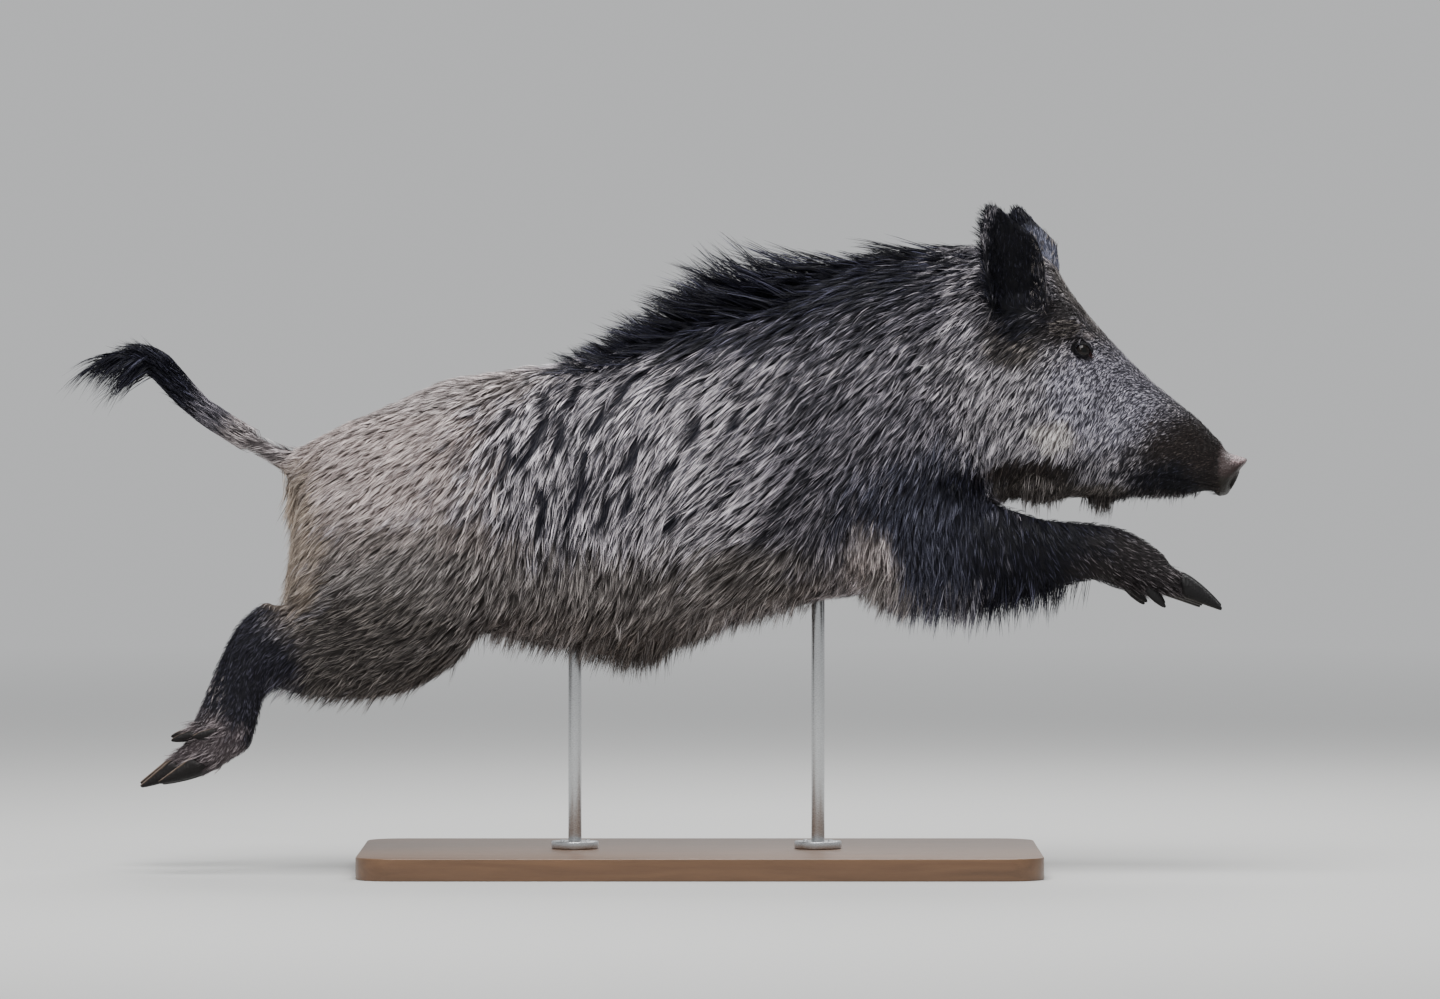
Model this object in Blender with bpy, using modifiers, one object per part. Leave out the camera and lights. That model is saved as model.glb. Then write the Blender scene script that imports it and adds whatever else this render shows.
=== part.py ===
# A leaping wild boar, life size, held over a flat base by two rods.
#
# Metres, +Z up, +X the way it leaps and +Y its left side. The origin is the middle of the base's underside.
# The solids reach to the tips of the coat. The flesh is modelled whole, from lofts and muscles that are fused
# into one skin, and then parted at the joints of the body by thin cuts. Horn, eyes and stand are their own solids.
import math

import bmesh
import bpy
import numpy as np
from mathutils import Matrix, Vector

# What all pieces share.
GAP = 0.0003  # between two solids that touch
CUT = 0.0006  # of flesh lost between two parts of the body
BODY_VOXEL = 0.008  # of the fused trunk, head and legs
BODY_SMOOTHING = 10
FOOT_VOXEL = 0.005  # of the whole once the toes are fused to it
FOOT_SMOOTHING = 3
FLESH_TRIANGLES = 2600
SIDES = {"right": -1, "left": 1}

# Trunk and neck, in upright sections: x, top, bottom, half width, power of the upper half's roundness.
TRUNK = [
    (-0.551, 0.556, 0.480, 0.040, 2.0),
    (-0.528, 0.584, 0.405, 0.088, 2.0),
    (-0.482, 0.609, 0.368, 0.112, 2.0),
    (-0.421, 0.634, 0.347, 0.124, 2.0),
    (-0.353, 0.666, 0.332, 0.129, 2.0),
    (-0.271, 0.681, 0.317, 0.134, 2.0),
    (-0.190, 0.696, 0.304, 0.142, 1.9),
    (-0.109, 0.728, 0.288, 0.152, 1.8),
    (-0.027, 0.770, 0.303, 0.161, 1.7),
    (0.054, 0.796, 0.336, 0.165, 1.7),
    (0.136, 0.808, 0.360, 0.163, 1.7),
    (0.217, 0.820, 0.374, 0.155, 1.8),
    (0.292, 0.836, 0.398, 0.140, 1.9),
    (0.353, 0.848, 0.440, 0.120, 2.0),
    (0.407, 0.846, 0.495, 0.105, 2.0),
    (0.440, 0.826, 0.530, 0.085, 2.0),
]
TRUNK_WIDEST = 0.46  # level of the widest line, as a share of the section's height

# Head, in upright sections before it turns to its right: x, top, bottom, half width.
HEAD = [
    (0.332, 0.826, 0.548, 0.085),
    (0.373, 0.852, 0.526, 0.098),
    (0.421, 0.849, 0.512, 0.101),
    (0.468, 0.826, 0.507, 0.097),
    (0.500, 0.792, 0.506, 0.090),
    (0.524, 0.760, 0.507, 0.083),
    (0.556, 0.725, 0.508, 0.071),
    (0.597, 0.682, 0.509, 0.057),
    (0.638, 0.647, 0.510, 0.049),
    (0.678, 0.614, 0.514, 0.043),
    (0.704, 0.586, 0.517, 0.038),
    (0.716, 0.569, 0.517, 0.035),
]
HEAD_WIDEST = 0.38
HEAD_TURN = math.radians(-7)
HEAD_PIVOT = Vector((0.40, 0.0, 0.66))
CROWN = (0.440, 0.0, 0.800)
CHEEK = (0.462, 0.052, 0.590)
CHEEKBONE = (0.508, 0.060, 0.660)
BROW = (0.508, 0.046, 0.742)
CHIN_TUFT = (0.553, 0.0, 0.503)
THROAT_TUFT = (0.462, 0.0, 0.512)

EYE = (0.527, 0.708)  # x and z in the straight head
EYE_RADIUS = 0.0122
EYE_DEPTH = 0.0072  # of the eyeball's middle below the coat

# Ears: the middle of each ring in the straight head, its half width and the fold of the shell in degrees.
EAR = [
    (0.431, 0.050, 0.708, 0.024, 210),
    (0.432, 0.064, 0.742, 0.031, 185),
    (0.434, 0.081, 0.780, 0.041, 155),
    (0.433, 0.094, 0.815, 0.046, 130),
    (0.429, 0.104, 0.848, 0.042, 112),
    (0.423, 0.111, 0.876, 0.030, 95),
    (0.418, 0.116, 0.902, 0.008, 80),
]
EAR_THICKNESS = 0.011
EAR_SEAT = 0.001  # gap round the ear where it enters the head
EAR_FACING = math.radians(-62)  # from straight ahead round to the side

# Snout disc, in the straight head. Its rear is upright; its front leans out towards the top, where the rim flares.
DISC_REAR = (0.7055, 0.5390, 0.0310)  # x, z and half height
DISC_FRONT = (0.7190, 0.5350, 0.0245)
DISC_HALF_WIDTH = 0.0385
DISC_REAR_LEAN = 0.0035
DISC_RIM_FLARE = 0.0235
NOSTRIL = (0.0155, 0.530, 0.0060)  # half spacing, z and radius

# Legs: rows of x, y, z, half depth and half width, on the right side and mirrored for the left.
SHOULDER = [
    (0.205, 0.078, 0.748, 0.050, 0.026),
    (0.228, 0.096, 0.672, 0.096, 0.048),
    (0.252, 0.103, 0.590, 0.114, 0.058),
    (0.282, 0.100, 0.508, 0.108, 0.059),
    (0.319, 0.096, 0.446, 0.082, 0.052),
    (0.360, 0.094, 0.420, 0.048, 0.035),
]
FOREARM = [
    (0.244, 0.096, 0.446, 0.056, 0.040),
    (0.292, 0.096, 0.440, 0.079, 0.049),
    (0.346, 0.095, 0.436, 0.084, 0.047),
    (0.407, 0.092, 0.433, 0.073, 0.040),
    (0.468, 0.089, 0.432, 0.055, 0.034),
    (0.522, 0.087, 0.437, 0.043, 0.030),
    (0.556, 0.086, 0.434, 0.040, 0.031),
    (0.590, 0.085, 0.417, 0.038, 0.027),
    (0.614, 0.085, 0.403, 0.033, 0.028),
]
FORE_FETLOCK = (0.604, 0.085, 0.408)
FORE_TOE_ANGLE = -18  # degrees in the XZ plane
THIGH = [
    (-0.405, 0.056, 0.582, 0.060, 0.036),
    (-0.416, 0.067, 0.522, 0.112, 0.058),
    (-0.419, 0.078, 0.449, 0.138, 0.069),
    (-0.413, 0.084, 0.372, 0.142, 0.068),
    (-0.408, 0.086, 0.310, 0.102, 0.056),
    (-0.412, 0.086, 0.266, 0.050, 0.032),
]
SHANK = [
    (-0.306, 0.088, 0.358, 0.038, 0.034),
    (-0.370, 0.088, 0.321, 0.060, 0.050),
    (-0.455, 0.088, 0.301, 0.067, 0.048),
    (-0.522, 0.088, 0.302, 0.064, 0.042),
    (-0.572, 0.088, 0.304, 0.056, 0.034),
]
HOCK = {"right": (-0.590, 0.088, 0.343), "left": (-0.606, 0.088, 0.332)}
HIND_FETLOCK = {"right": (-0.632, 0.085, 0.178), "left": (-0.673, 0.085, 0.172)}
HIND_TOE_ANGLE = {"right": 218, "left": 221}
CANNON = [  # share of the way from hock to fetlock, half depth, half width
    (-0.17, 0.011, 0.012),
    (-0.05, 0.024, 0.019),
    (0.10, 0.030, 0.024),
    (0.30, 0.033, 0.026),
    (0.60, 0.032, 0.024),
    (0.85, 0.032, 0.025),
    (1.00, 0.031, 0.027),
]
FORE_LEFT_SHIFT = Vector((-0.018, 0.0, -0.002))
EAR_LEFT_SHIFT = Vector((-0.006, 0.0, 0.0))

# Feet, in the toe's own axes: along the toe, towards its front face, and across.
TOE_LENGTH = 0.052  # fetlock to coronet
TOE_SPREAD = 0.0138  # half the distance between the two toes
CLAW_LENGTH = 0.053
CLAW_HALF = (0.0128, 0.0165)  # across and deep, at the coronet
CLAW_SPLAY = 0.07
FOOT_ROLL = 0.10  # the outer toe lies this much lower, as a slope
DEWCLAW_ROOT = (0.004, -0.019, 0.0175)
DEWCLAW_TIP = (0.036, -0.036, 0.0225)
DEWCLAW_RADIUS = 0.0085

# Tail: x, z, half depth and half width along its middle line.
TAIL = [
    (-0.530, 0.546, 0.024, 0.022),
    (-0.573, 0.565, 0.019, 0.018),
    (-0.624, 0.592, 0.018, 0.017),
    (-0.672, 0.623, 0.018, 0.017),
    (-0.708, 0.657, 0.020, 0.018),
    (-0.735, 0.688, 0.021, 0.018),
    (-0.764, 0.702, 0.018, 0.015),
    (-0.796, 0.698, 0.015, 0.012),
    (-0.828, 0.680, 0.012, 0.009),
    (-0.858, 0.656, 0.007, 0.006),
]

# Mane: x, tip height and half width of the crest that its bristles make.
MANE = [
    (-0.190, 0.692, 0.018),
    (-0.130, 0.729, 0.030),
    (-0.074, 0.775, 0.036),
    (-0.016, 0.822, 0.040),
    (0.036, 0.850, 0.042),
    (0.109, 0.832, 0.044),
    (0.204, 0.842, 0.046),
    (0.300, 0.855, 0.046),
    (0.380, 0.861, 0.044),
    (0.425, 0.846, 0.030),
]
MANE_DEPTH = 0.120

# Stand.
BASE_SIZE = (0.92, 0.50, 0.030)
BASE_CORNER = 0.05
ROD_RADIUS = 0.009
ROD_TOP = {"front": (0.160, 0.440), "rear": (-0.170, 0.385)}  # x and z of each rod's upper end
FLANGE_RADIUS = 0.032
FLANGE_HEIGHT = 0.010

COLOURS = {  # base colour, roughness, metallic
    "coat_grey": ((0.17, 0.15, 0.13), 0.8, 0.0),
    "coat_black": ((0.02, 0.02, 0.022), 0.75, 0.0),
    "coat_face": ((0.12, 0.11, 0.10), 0.8, 0.0),
    "snout_skin": ((0.19, 0.13, 0.12), 0.5, 0.0),
    "horn": ((0.05, 0.045, 0.04), 0.45, 0.0),
    "eye": ((0.012, 0.007, 0.005), 0.08, 0.0),
    "wood": ((0.22, 0.12, 0.06), 0.5, 0.0),
    "steel": ((0.35, 0.35, 0.36), 0.3, 1.0),
}


# --- Tools ---


def collection(name):
    made = bpy.data.collections.new(name)
    bpy.context.scene.collection.children.link(made)
    return made


def material(name):
    colour, roughness, metallic = COLOURS[name]
    made = bpy.data.materials.new(name)
    made.use_nodes = True
    shader = made.node_tree.nodes["Principled BSDF"]
    shader.inputs["Base Color"].default_value = (*colour, 1.0)
    shader.inputs["Roughness"].default_value = roughness
    shader.inputs["Metallic"].default_value = metallic
    made.diffuse_color = (*colour, 1.0)
    return made


def new_object(name, shape, home):
    # shape is a bmesh, which this frees.
    mesh = bpy.data.meshes.new(name)
    shape.normal_update()
    bmesh.ops.recalc_face_normals(shape, faces=shape.faces)
    shape.to_mesh(mesh)
    shape.free()
    made = bpy.data.objects.new(name, mesh)
    home.objects.link(made)
    return made


def as_cutter(cutter):
    cutter.hide_render = True
    cutter.display_type = "WIRE"
    return cutter


def evaluated_mesh(source):
    graph = bpy.context.evaluated_depsgraph_get()
    return bpy.data.meshes.new_from_object(source.evaluated_get(graph), depsgraph=graph)


def apply_modifiers(target):
    mesh = evaluated_mesh(target)
    target.modifiers.clear()
    old = target.data
    target.data = mesh
    bpy.data.meshes.remove(old)


def triangulated(target):
    target.modifiers.new("Triangles", "TRIANGULATE")
    apply_modifiers(target)
    return target


def boolean(target, other, operation):
    modifier = target.modifiers.new(operation.title(), "BOOLEAN")
    modifier.operation = operation
    modifier.object = other
    apply_modifiers(target)


def smooth_rows(rows, step=0.012):
    # A smooth curve through the rows, which holds every column, with a row about every step along its length.
    rows = np.array(rows, float)
    spans = np.linalg.norm(np.diff(rows[:, :3], axis=0), axis=1)
    at = np.concatenate(([0.0], np.cumsum(spans)))
    slopes = np.gradient(rows, at, axis=0)
    made = []
    for i, span in enumerate(spans):
        for t in np.arange(0.0, 1.0, 1.0 / max(1, round(span / step))):
            low = (1 + 2 * t) * (1 - t) ** 2 * rows[i] + t * (1 - t) ** 2 * span * slopes[i]
            high = t**2 * (3 - 2 * t) * rows[i + 1] - t**2 * (1 - t) * span * slopes[i + 1]
            made.append(low + high)
    made.append(rows[-1])
    return made


def loft(name, rings, home):
    # A closed body through rings of equally many points.
    shape = bmesh.new()
    loops = [[shape.verts.new(p) for p in ring] for ring in rings]
    count = len(loops[0])
    for low, high in zip(loops, loops[1:]):
        for i in range(count):
            j = (i + 1) % count
            shape.faces.new((low[i], low[j], high[j], high[i]))
    shape.faces.new(loops[0])
    shape.faces.new(loops[-1][::-1])
    return new_object(name, shape, home)


def rounded_ends(rings, axis_reach):
    # Adds shrinking rings past both ends, so that a loft ends in domes.
    def dome(ring, inner):
        middle = sum(ring, Vector()) / len(ring)
        inner_middle = sum(inner, Vector()) / len(inner)
        out = (middle - inner_middle).normalized()
        made = []
        for angle in map(math.radians, (30, 58, 80)):
            centre = middle + out * axis_reach * math.sin(angle)
            made.append([centre + (p - middle) * math.cos(angle) for p in ring])
        return made

    return dome(rings[0], rings[1])[::-1] + rings + dome(rings[-1], rings[-2])


def superellipse(angle, power):
    # A point of a rounded box's outline: power 2 is a circle and a higher one is squarer.
    c, s = math.cos(angle), math.sin(angle)
    scale = (abs(c) ** power + abs(s) ** power) ** (-1 / power)
    return c * scale, s * scale


def upright_rings(rows, widest, low_power=2.2, count=24):
    # Sections across X, whose upper and lower halves meet at the widest level.
    rings = []
    for x, top, bottom, half, power in rows:
        level = bottom + (top - bottom) * widest
        ring = []
        for i in range(count):
            angle = 2 * math.pi * i / count
            upper = math.sin(angle) >= 0
            across, up = superellipse(angle, power if upper else low_power)
            ring.append(Vector((x, half * across, level + up * ((top - level) if upper else (level - bottom)))))
        rings.append(ring)
    return rings


def limb(name, rows, side, home, end=0.02, count=16):
    # A limb along rows of x, y, z, half depth and half width, with its sections square to its course.
    rows = smooth_rows(rows)
    path = np.array(rows)[:, [0, 2]]
    course = np.gradient(path, axis=0)
    rings = []
    for (x, y, z, deep, wide), (dx, dz) in zip(rows, course):
        across = Vector((-dz, 0.0, dx)).normalized()
        middle = Vector((x, y * side, z))
        ring = []
        for i in range(count):
            angle = 2 * math.pi * i / count
            ring.append(middle + across * deep * math.cos(angle) + Vector((0, wide * math.sin(angle), 0)))
        rings.append(ring)
    return loft(name, rounded_ends(rings, end), home)


def muscle(name, middle, radii, tilt, home):
    # An ellipsoid; tilt is in degrees, down in front.
    shape = bmesh.new()
    bmesh.ops.create_uvsphere(shape, u_segments=20, v_segments=12, radius=1.0)
    turn = Matrix.Rotation(math.radians(tilt), 4, "Y")
    stretch = Matrix.Diagonal((*radii, 1.0))
    shape.transform(Matrix.Translation(middle) @ turn @ stretch)
    return new_object(name, shape, home)


def cylinder(name, low, high, radius, home, segments=16):
    low, high = Vector(low), Vector(high)
    along = high - low
    shape = bmesh.new()
    bmesh.ops.create_cone(
        shape, cap_ends=True, segments=segments, radius1=radius, radius2=radius, depth=along.length
    )
    turn = along.to_track_quat("Z", "Y").to_matrix().to_4x4()
    shape.transform(Matrix.Translation((low + high) / 2) @ turn)
    return new_object(name, shape, home)


# --- Flesh ---


def head_turn():
    return (
        Matrix.Translation(HEAD_PIVOT) @ Matrix.Rotation(HEAD_TURN, 4, "Z") @ Matrix.Translation(-HEAD_PIVOT)
    )


def make_trunk(home):
    rings = upright_rings(smooth_rows(TRUNK), TRUNK_WIDEST)
    return [loft("trunk", rounded_ends(rings, 0.012), home)]


def make_crest(home):
    # The crest of mane bristles along the back: a blade that narrows upwards.
    rings = []
    for x, top, half in smooth_rows(MANE):
        low = top - MANE_DEPTH
        outline = [(-1.0, low), (1.0, low), (0.8, top - 0.055), (0.4, top - 0.016), (0.12, top)]
        outline += [(-0.12, top), (-0.4, top - 0.016), (-0.8, top - 0.055)]
        rings.append([Vector((x, half * across, z)) for across, z in outline])
    return [loft("crest", rings, home)]


def make_head(home):
    rows = [(*row, 2.15) for row in HEAD]
    rings = upright_rings(smooth_rows(rows), HEAD_WIDEST, low_power=2.6)
    made = [
        loft("skull", rounded_ends(rings, 0.008), home),
        muscle("crown", CROWN, (0.060, 0.060, 0.046), 25, home),
        muscle("chin_tuft", CHIN_TUFT, (0.013, 0.010, 0.016), -20, home),
        muscle("throat_tuft", THROAT_TUFT, (0.030, 0.040, 0.016), 0, home),
    ]
    for side in SIDES.values():
        for name, (x, y, z), radii, tilt in (
            ("cheek", CHEEK, (0.075, 0.050, 0.064), 20),
            ("cheekbone", CHEEKBONE, (0.058, 0.026, 0.024), 22),
            ("brow", BROW, (0.036, 0.026, 0.017), 40),
        ):
            made.append(muscle(name, (x, side * y, z), radii, tilt, home))
    for piece in made:
        piece.data.transform(head_turn())
    return made


def make_tail(home):
    rows = [(x, 0.0, z, deep, wide) for x, z, deep, wide in TAIL]
    return [limb("tail", rows, 1, home, end=0.008, count=12)]


def shifted(rows, shift):
    return [(x + shift.x, y, z + shift.z, deep, wide) for x, y, z, deep, wide in rows]


def fore_shift(side_name):
    return FORE_LEFT_SHIFT if side_name == "left" else Vector()


def make_fore_leg(side_name, home):
    side = SIDES[side_name]
    forearm = shifted(FOREARM, fore_shift(side_name))
    return [limb("shoulder", SHOULDER, side, home), limb("forearm", forearm, side, home, end=0.014)]


def make_hind_leg(side_name, home):
    side = SIDES[side_name]
    hock, fetlock = Vector(HOCK[side_name]), Vector(HIND_FETLOCK[side_name])
    rows = [(*(hock + (fetlock - hock) * share), deep, wide) for share, deep, wide in CANNON]
    return [
        limb("thigh", THIGH, side, home),
        limb("shank", SHANK, side, home, end=0.016),
        limb("cannon", rows, side, home, end=0.010),
    ]


class Foot:
    # A foot's own axes at its fetlock: along the toes, towards their front face, and across, outwards.
    def __init__(self, name, side, fetlock, angle):
        self.name, self.side = name, side
        x, y, z = fetlock
        self.origin = Vector((x, side * y, z))
        turn = math.radians(angle)
        self.along = Vector((math.cos(turn), 0, math.sin(turn)))
        self.front = Vector((-math.sin(turn), 0, math.cos(turn)))
        self.out = Vector((0, side, 0))

    def at(self, along, front, out):
        front -= FOOT_ROLL * out
        return self.origin + self.along * along + self.front * front + self.out * out


def feet():
    made = []
    for side_name, side in SIDES.items():
        shift = fore_shift(side_name)
        fetlock = Vector(FORE_FETLOCK) + shift
        made.append(Foot(f"fore_{side_name}", side, fetlock, FORE_TOE_ANGLE))
        hind = HIND_FETLOCK[side_name]
        made.append(Foot(f"hind_{side_name}", side, hind, HIND_TOE_ANGLE[side_name]))
    return made


def claw_rings(foot, out_sign, grow):
    # A main claw from its coronet to its tip: a flat sole, an arched wall and an upright inner face.
    across, deep = CLAW_HALF
    rings = []
    for share in (-0.07, 0.25, 0.55, 0.82, 1.0):
        taper = max(share, 0.0)
        sole = -deep - 0.001
        top = sole + 2 * deep * (1 - 0.86 * taper**1.25)
        half = across * (1 - 0.62 * taper**2.2)
        middle = TOE_SPREAD + CLAW_SPLAY * CLAW_LENGTH * taper
        ring = []
        for i in range(8):
            angle = 2 * math.pi * (i + 0.5) / 8
            c, s = superellipse(angle, 2.6)
            front = (top + sole) / 2 + s * ((top - sole) / 2 + grow)
            along = TOE_LENGTH + CLAW_LENGTH * share - 0.35 * (front - sole) * (1 - taper) + 0.004
            ring.append(foot.at(along, front, out_sign * (middle + c * (half + grow))))
        rings.append(ring)
    ends = grow * foot.along
    rings[0] = [p - ends for p in rings[0]]
    rings[-1] = [p + ends for p in rings[-1]]
    return rings


def dewclaw_rings(foot, out_sign, grow):
    root, tip = Vector(DEWCLAW_ROOT), Vector(DEWCLAW_TIP)
    along = (tip - root).normalized()
    first = along.cross(Vector((0, 0, 1))).normalized()
    second = along.cross(first)
    rings = []
    for share, width in ((0.0, 1.0), (0.6, 0.85), (1.0, 0.25)):
        middle = root.lerp(tip, share) + along * grow * (2 * share - 1)
        radius = DEWCLAW_RADIUS * width + grow
        ring = []
        for i in range(6):
            angle = 2 * math.pi * i / 6
            p = middle + first * radius * math.cos(angle) + second * 0.8 * radius * math.sin(angle)
            ring.append(foot.at(p.x, p.y, out_sign * p.z))
        rings.append(ring)
    return rings


def make_toes(foot, home):
    # The flesh of the two toes, which ends inside the claws, and the pads that carry the dewclaws.
    made = []
    across, deep = CLAW_HALF
    for out_sign in (-1, 1):
        rings = []
        for share in (-0.3, 0.2, 0.6, 1.0):
            ring = []
            for i in range(12):
                angle = 2 * math.pi * i / 12
                swell = 1.0 + 0.35 * (1 - share)
                out = out_sign * (TOE_SPREAD + across * 0.96 * math.cos(angle))
                ring.append(foot.at(TOE_LENGTH * share, deep * swell * math.sin(angle) - 0.001, out))
            rings.append(ring)
        made.append(loft("toe", rounded_ends(rings, 0.008), home))
        along, front, out = DEWCLAW_ROOT
        pad = foot.at(along - 0.004, front + 0.004, out_sign * out * 0.8)
        made.append(muscle("pad", pad, (0.016, 0.013, 0.015), 0, home))
    return made


def fuse(pieces, voxel, smoothing, home):
    # One skin round all pieces: joined, remeshed and smoothed.
    shape = bmesh.new()
    for piece in pieces:
        shape.from_mesh(piece.data)
        bpy.data.objects.remove(piece)
    body = new_object("body", shape, home)
    remesh = body.modifiers.new("Fuse", "REMESH")
    remesh.mode = "VOXEL"
    remesh.voxel_size = voxel
    smooth = body.modifiers.new("Smooth", "SMOOTH")
    smooth.factor = 0.5
    smooth.iterations = smoothing
    apply_modifiers(body)
    return body


def make_body(home):
    pieces = make_trunk(home) + make_crest(home) + make_head(home) + make_tail(home)
    for side_name in SIDES:
        pieces += make_fore_leg(side_name, home) + make_hind_leg(side_name, home)
    body = fuse(pieces, BODY_VOXEL, BODY_SMOOTHING, home)
    toes = [piece for foot in feet() for piece in make_toes(foot, home)]
    body = fuse([body] + toes, FOOT_VOXEL, FOOT_SMOOTHING, home)
    thin = body.modifiers.new("Thin", "DECIMATE")
    thin.ratio = FLESH_TRIANGLES / sum(len(face.vertices) - 2 for face in body.data.polygons)
    apply_modifiers(body)
    return body


# --- Eyes, ears, snout, claws ---


def eye_place(body, side):
    # Where the eyeball's middle lies: below the coat, on a line across the straight head.
    turn = head_turn()
    outside = turn @ Vector((EYE[0], side * 0.3, EYE[1]))
    inwards = turn.to_3x3() @ Vector((0, -side, 0))
    hit, place, normal, _ = body.ray_cast(outside, inwards)
    assert hit
    return place - normal * EYE_DEPTH


def make_eye(name, place, radius, home):
    shape = bmesh.new()
    bmesh.ops.create_uvsphere(shape, u_segments=14, v_segments=9, radius=radius)
    shape.transform(Matrix.Translation(place))
    return new_object(name, shape, home)


def ear_rings(side):
    # Each ring is a folded shell: its back, then its hollow face.
    facing = Vector((math.cos(EAR_FACING), side * -math.sin(EAR_FACING), 0.05)).normalized()
    rows = smooth_rows(EAR, 0.03)
    shift = EAR_LEFT_SHIFT if side > 0 else Vector()
    places = [Vector((x, side * y, z)) + shift for x, y, z, *_ in rows]
    rings = []
    for i, (place, row) in enumerate(zip(places, rows)):
        half, fold = row[3], math.radians(row[4])
        course = (places[min(i + 1, len(rows) - 1)] - places[max(i - 1, 0)]).normalized()
        across = course.cross(facing).normalized()
        ahead = across.cross(course).normalized()
        radius = half / math.sin(min(fold, math.pi) / 2)
        hollow = radius * (1 - math.cos(fold / 2))
        thick = min(EAR_THICKNESS, half) / 2
        ring = []
        for shell, order in ((1, range(7)), (-1, range(6, -1, -1))):
            reach = radius + shell * thick
            for k in order:
                angle = fold * (k / 6 - 0.5)
                forward = radius - math.cos(angle) * reach - hollow / 2
                ring.append(place + across * math.sin(angle) * reach + ahead * forward)
        rings.append(ring)
    return [[head_turn() @ p for p in ring] for ring in rings]


def swollen_copy(source, name, amount, home):
    made = bpy.data.objects.new(name, source.data.copy())
    home.objects.link(made)
    swell = made.modifiers.new("Swell", "DISPLACE")
    swell.mid_level = 0.0
    swell.strength = amount
    apply_modifiers(made)
    return made


def make_disc(name, grow, home):
    # An oval disc whose upper rim flares forwards.
    rings = []
    for share in (0.0, 0.5, 1.0):
        swell = 1.0 - 0.18 * abs(share - 0.4) ** 1.5
        ring = []
        for i in range(20):
            c, s = superellipse(2 * math.pi * i / 20, 2.2)
            rear = DISC_REAR[0] + DISC_REAR_LEAN * s
            front = DISC_FRONT[0] + DISC_REAR_LEAN * s + DISC_RIM_FLARE * max(s, 0.0) ** 0.9
            middle = DISC_REAR[1] * (1 - share) + DISC_FRONT[1] * share
            half = DISC_REAR[2] * (1 - share) + DISC_FRONT[2] * share
            x = rear * (1 - share) + front * share + grow * (2 * share - 1)
            point = Vector((x, c * (DISC_HALF_WIDTH * swell + grow), middle + s * (half + grow)))
            ring.append(head_turn() @ point)
        rings.append(ring)
    return loft(name, rings, home)


def make_nostrils(disc, cutters):
    spacing, height, radius = NOSTRIL
    for side in SIDES.values():
        ends = [head_turn() @ Vector((x, side * spacing, height)) for x in (0.69, 0.76)]
        bore = as_cutter(cylinder("nostril_bore", *ends, radius, cutters, segments=8))
        boolean(disc, bore, "DIFFERENCE")


# --- Parting the body ---

# Each part lies beyond a plane: x and z of a point on it, the direction it faces (degrees in the XZ plane), how far
# the part reaches beyond, how far it spreads below and above along the plane, and its span across from the middle.
PARTS = {
    "tail_tuft": ((-0.748, 0.695), 175, 0.20, (-0.12, 0.12), None),
    "tail": ((-0.566, 0.562), 160, 0.25, (-0.15, 0.15), None),
    "forefoot": ((0.548, 0.436), -15, 0.25, (-0.12, 0.050), (0.02, 0.22)),
    "forearm": ((0.372, 0.455), -12, 0.24, (-0.16, 0.056), (0.045, 0.22)),
    "shoulder": ((0.150, 0.545), -8, 0.26, (-0.22, 0.18), (0.095, 0.25)),
    "hindfoot": ((-0.564, 0.310), 195, 0.30, (-0.12, 0.32), (0.02, 0.22)),
    "shank": ((-0.420, 0.350), -98, 0.20, (-0.26, 0.26), (0.03, 0.25)),
    "thigh": ((-0.415, 0.520), -94, 0.20, (-0.165, 0.165), (0.035, 0.25)),
    "head": ((0.424, 0.690), 9, 0.45, (-0.30, 0.35), None),
    "mane_front": ((0.200, 0.768), 100, 0.20, (-0.30, 0.205), None),
    "mane_rear": ((-0.100, 0.690), 116, 0.20, (-0.13, 0.113), None),
    "neck": ((0.275, 0.620), 11, 0.40, (-0.40, 0.40), None),
}
JAW = ((0.620, 0.537), -86, 0.10, (-0.115, 0.15), None)
PAIRED = ("forefoot", "forearm", "shoulder", "hindfoot", "shank", "thigh")


def region(name, part, side, inset, cutters):
    (x, z), facing, reach, (below, above), span = part
    low, high = (-0.4, 0.4) if span is None else span
    shape = bmesh.new()
    bmesh.ops.create_cube(shape, size=1.0)
    size = Vector((reach, high - low, above - below)) - Vector((2, 2, 2)) * inset
    middle = Vector((reach / 2, 0.0, (below + above) / 2))
    turn = Matrix.Rotation(-math.radians(facing), 4, "Y")
    place = Matrix.Translation((x, side * (low + high) / 2, z)) @ turn @ Matrix.Translation(middle)
    shape.transform(place @ Matrix.Diagonal((*size, 1.0)))
    return as_cutter(new_object(name, shape, cutters))


def keep_largest(target):
    # Drops the crumbs that a cut leaves, and edges of no length.
    shape = bmesh.new()
    shape.from_mesh(target.data)
    left = set(shape.verts)
    islands = []
    while left:
        island, edge = set(), [left.pop()]
        while edge:
            vert = edge.pop()
            island.add(vert)
            for link in vert.link_edges:
                other = link.other_vert(vert)
                if other in left:
                    left.discard(other)
                    edge.append(other)
        islands.append(island)
    largest = max(islands, key=len)
    spare = [vert for vert in shape.verts if vert not in largest]
    bmesh.ops.delete(shape, geom=spare, context="VERTS")
    shape.to_mesh(target.data)
    shape.free()


def part_off(body, name, part, side, home, cutters):
    piece = bpy.data.objects.new(name, body.data.copy())
    home.objects.link(piece)
    boolean(piece, region(f"{name}_keep", part, side, CUT, cutters), "INTERSECT")
    boolean(body, region(f"{name}_off", part, side, 0.0, cutters), "DIFFERENCE")
    keep_largest(piece)
    keep_largest(body)
    return piece


# --- Stand ---


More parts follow.
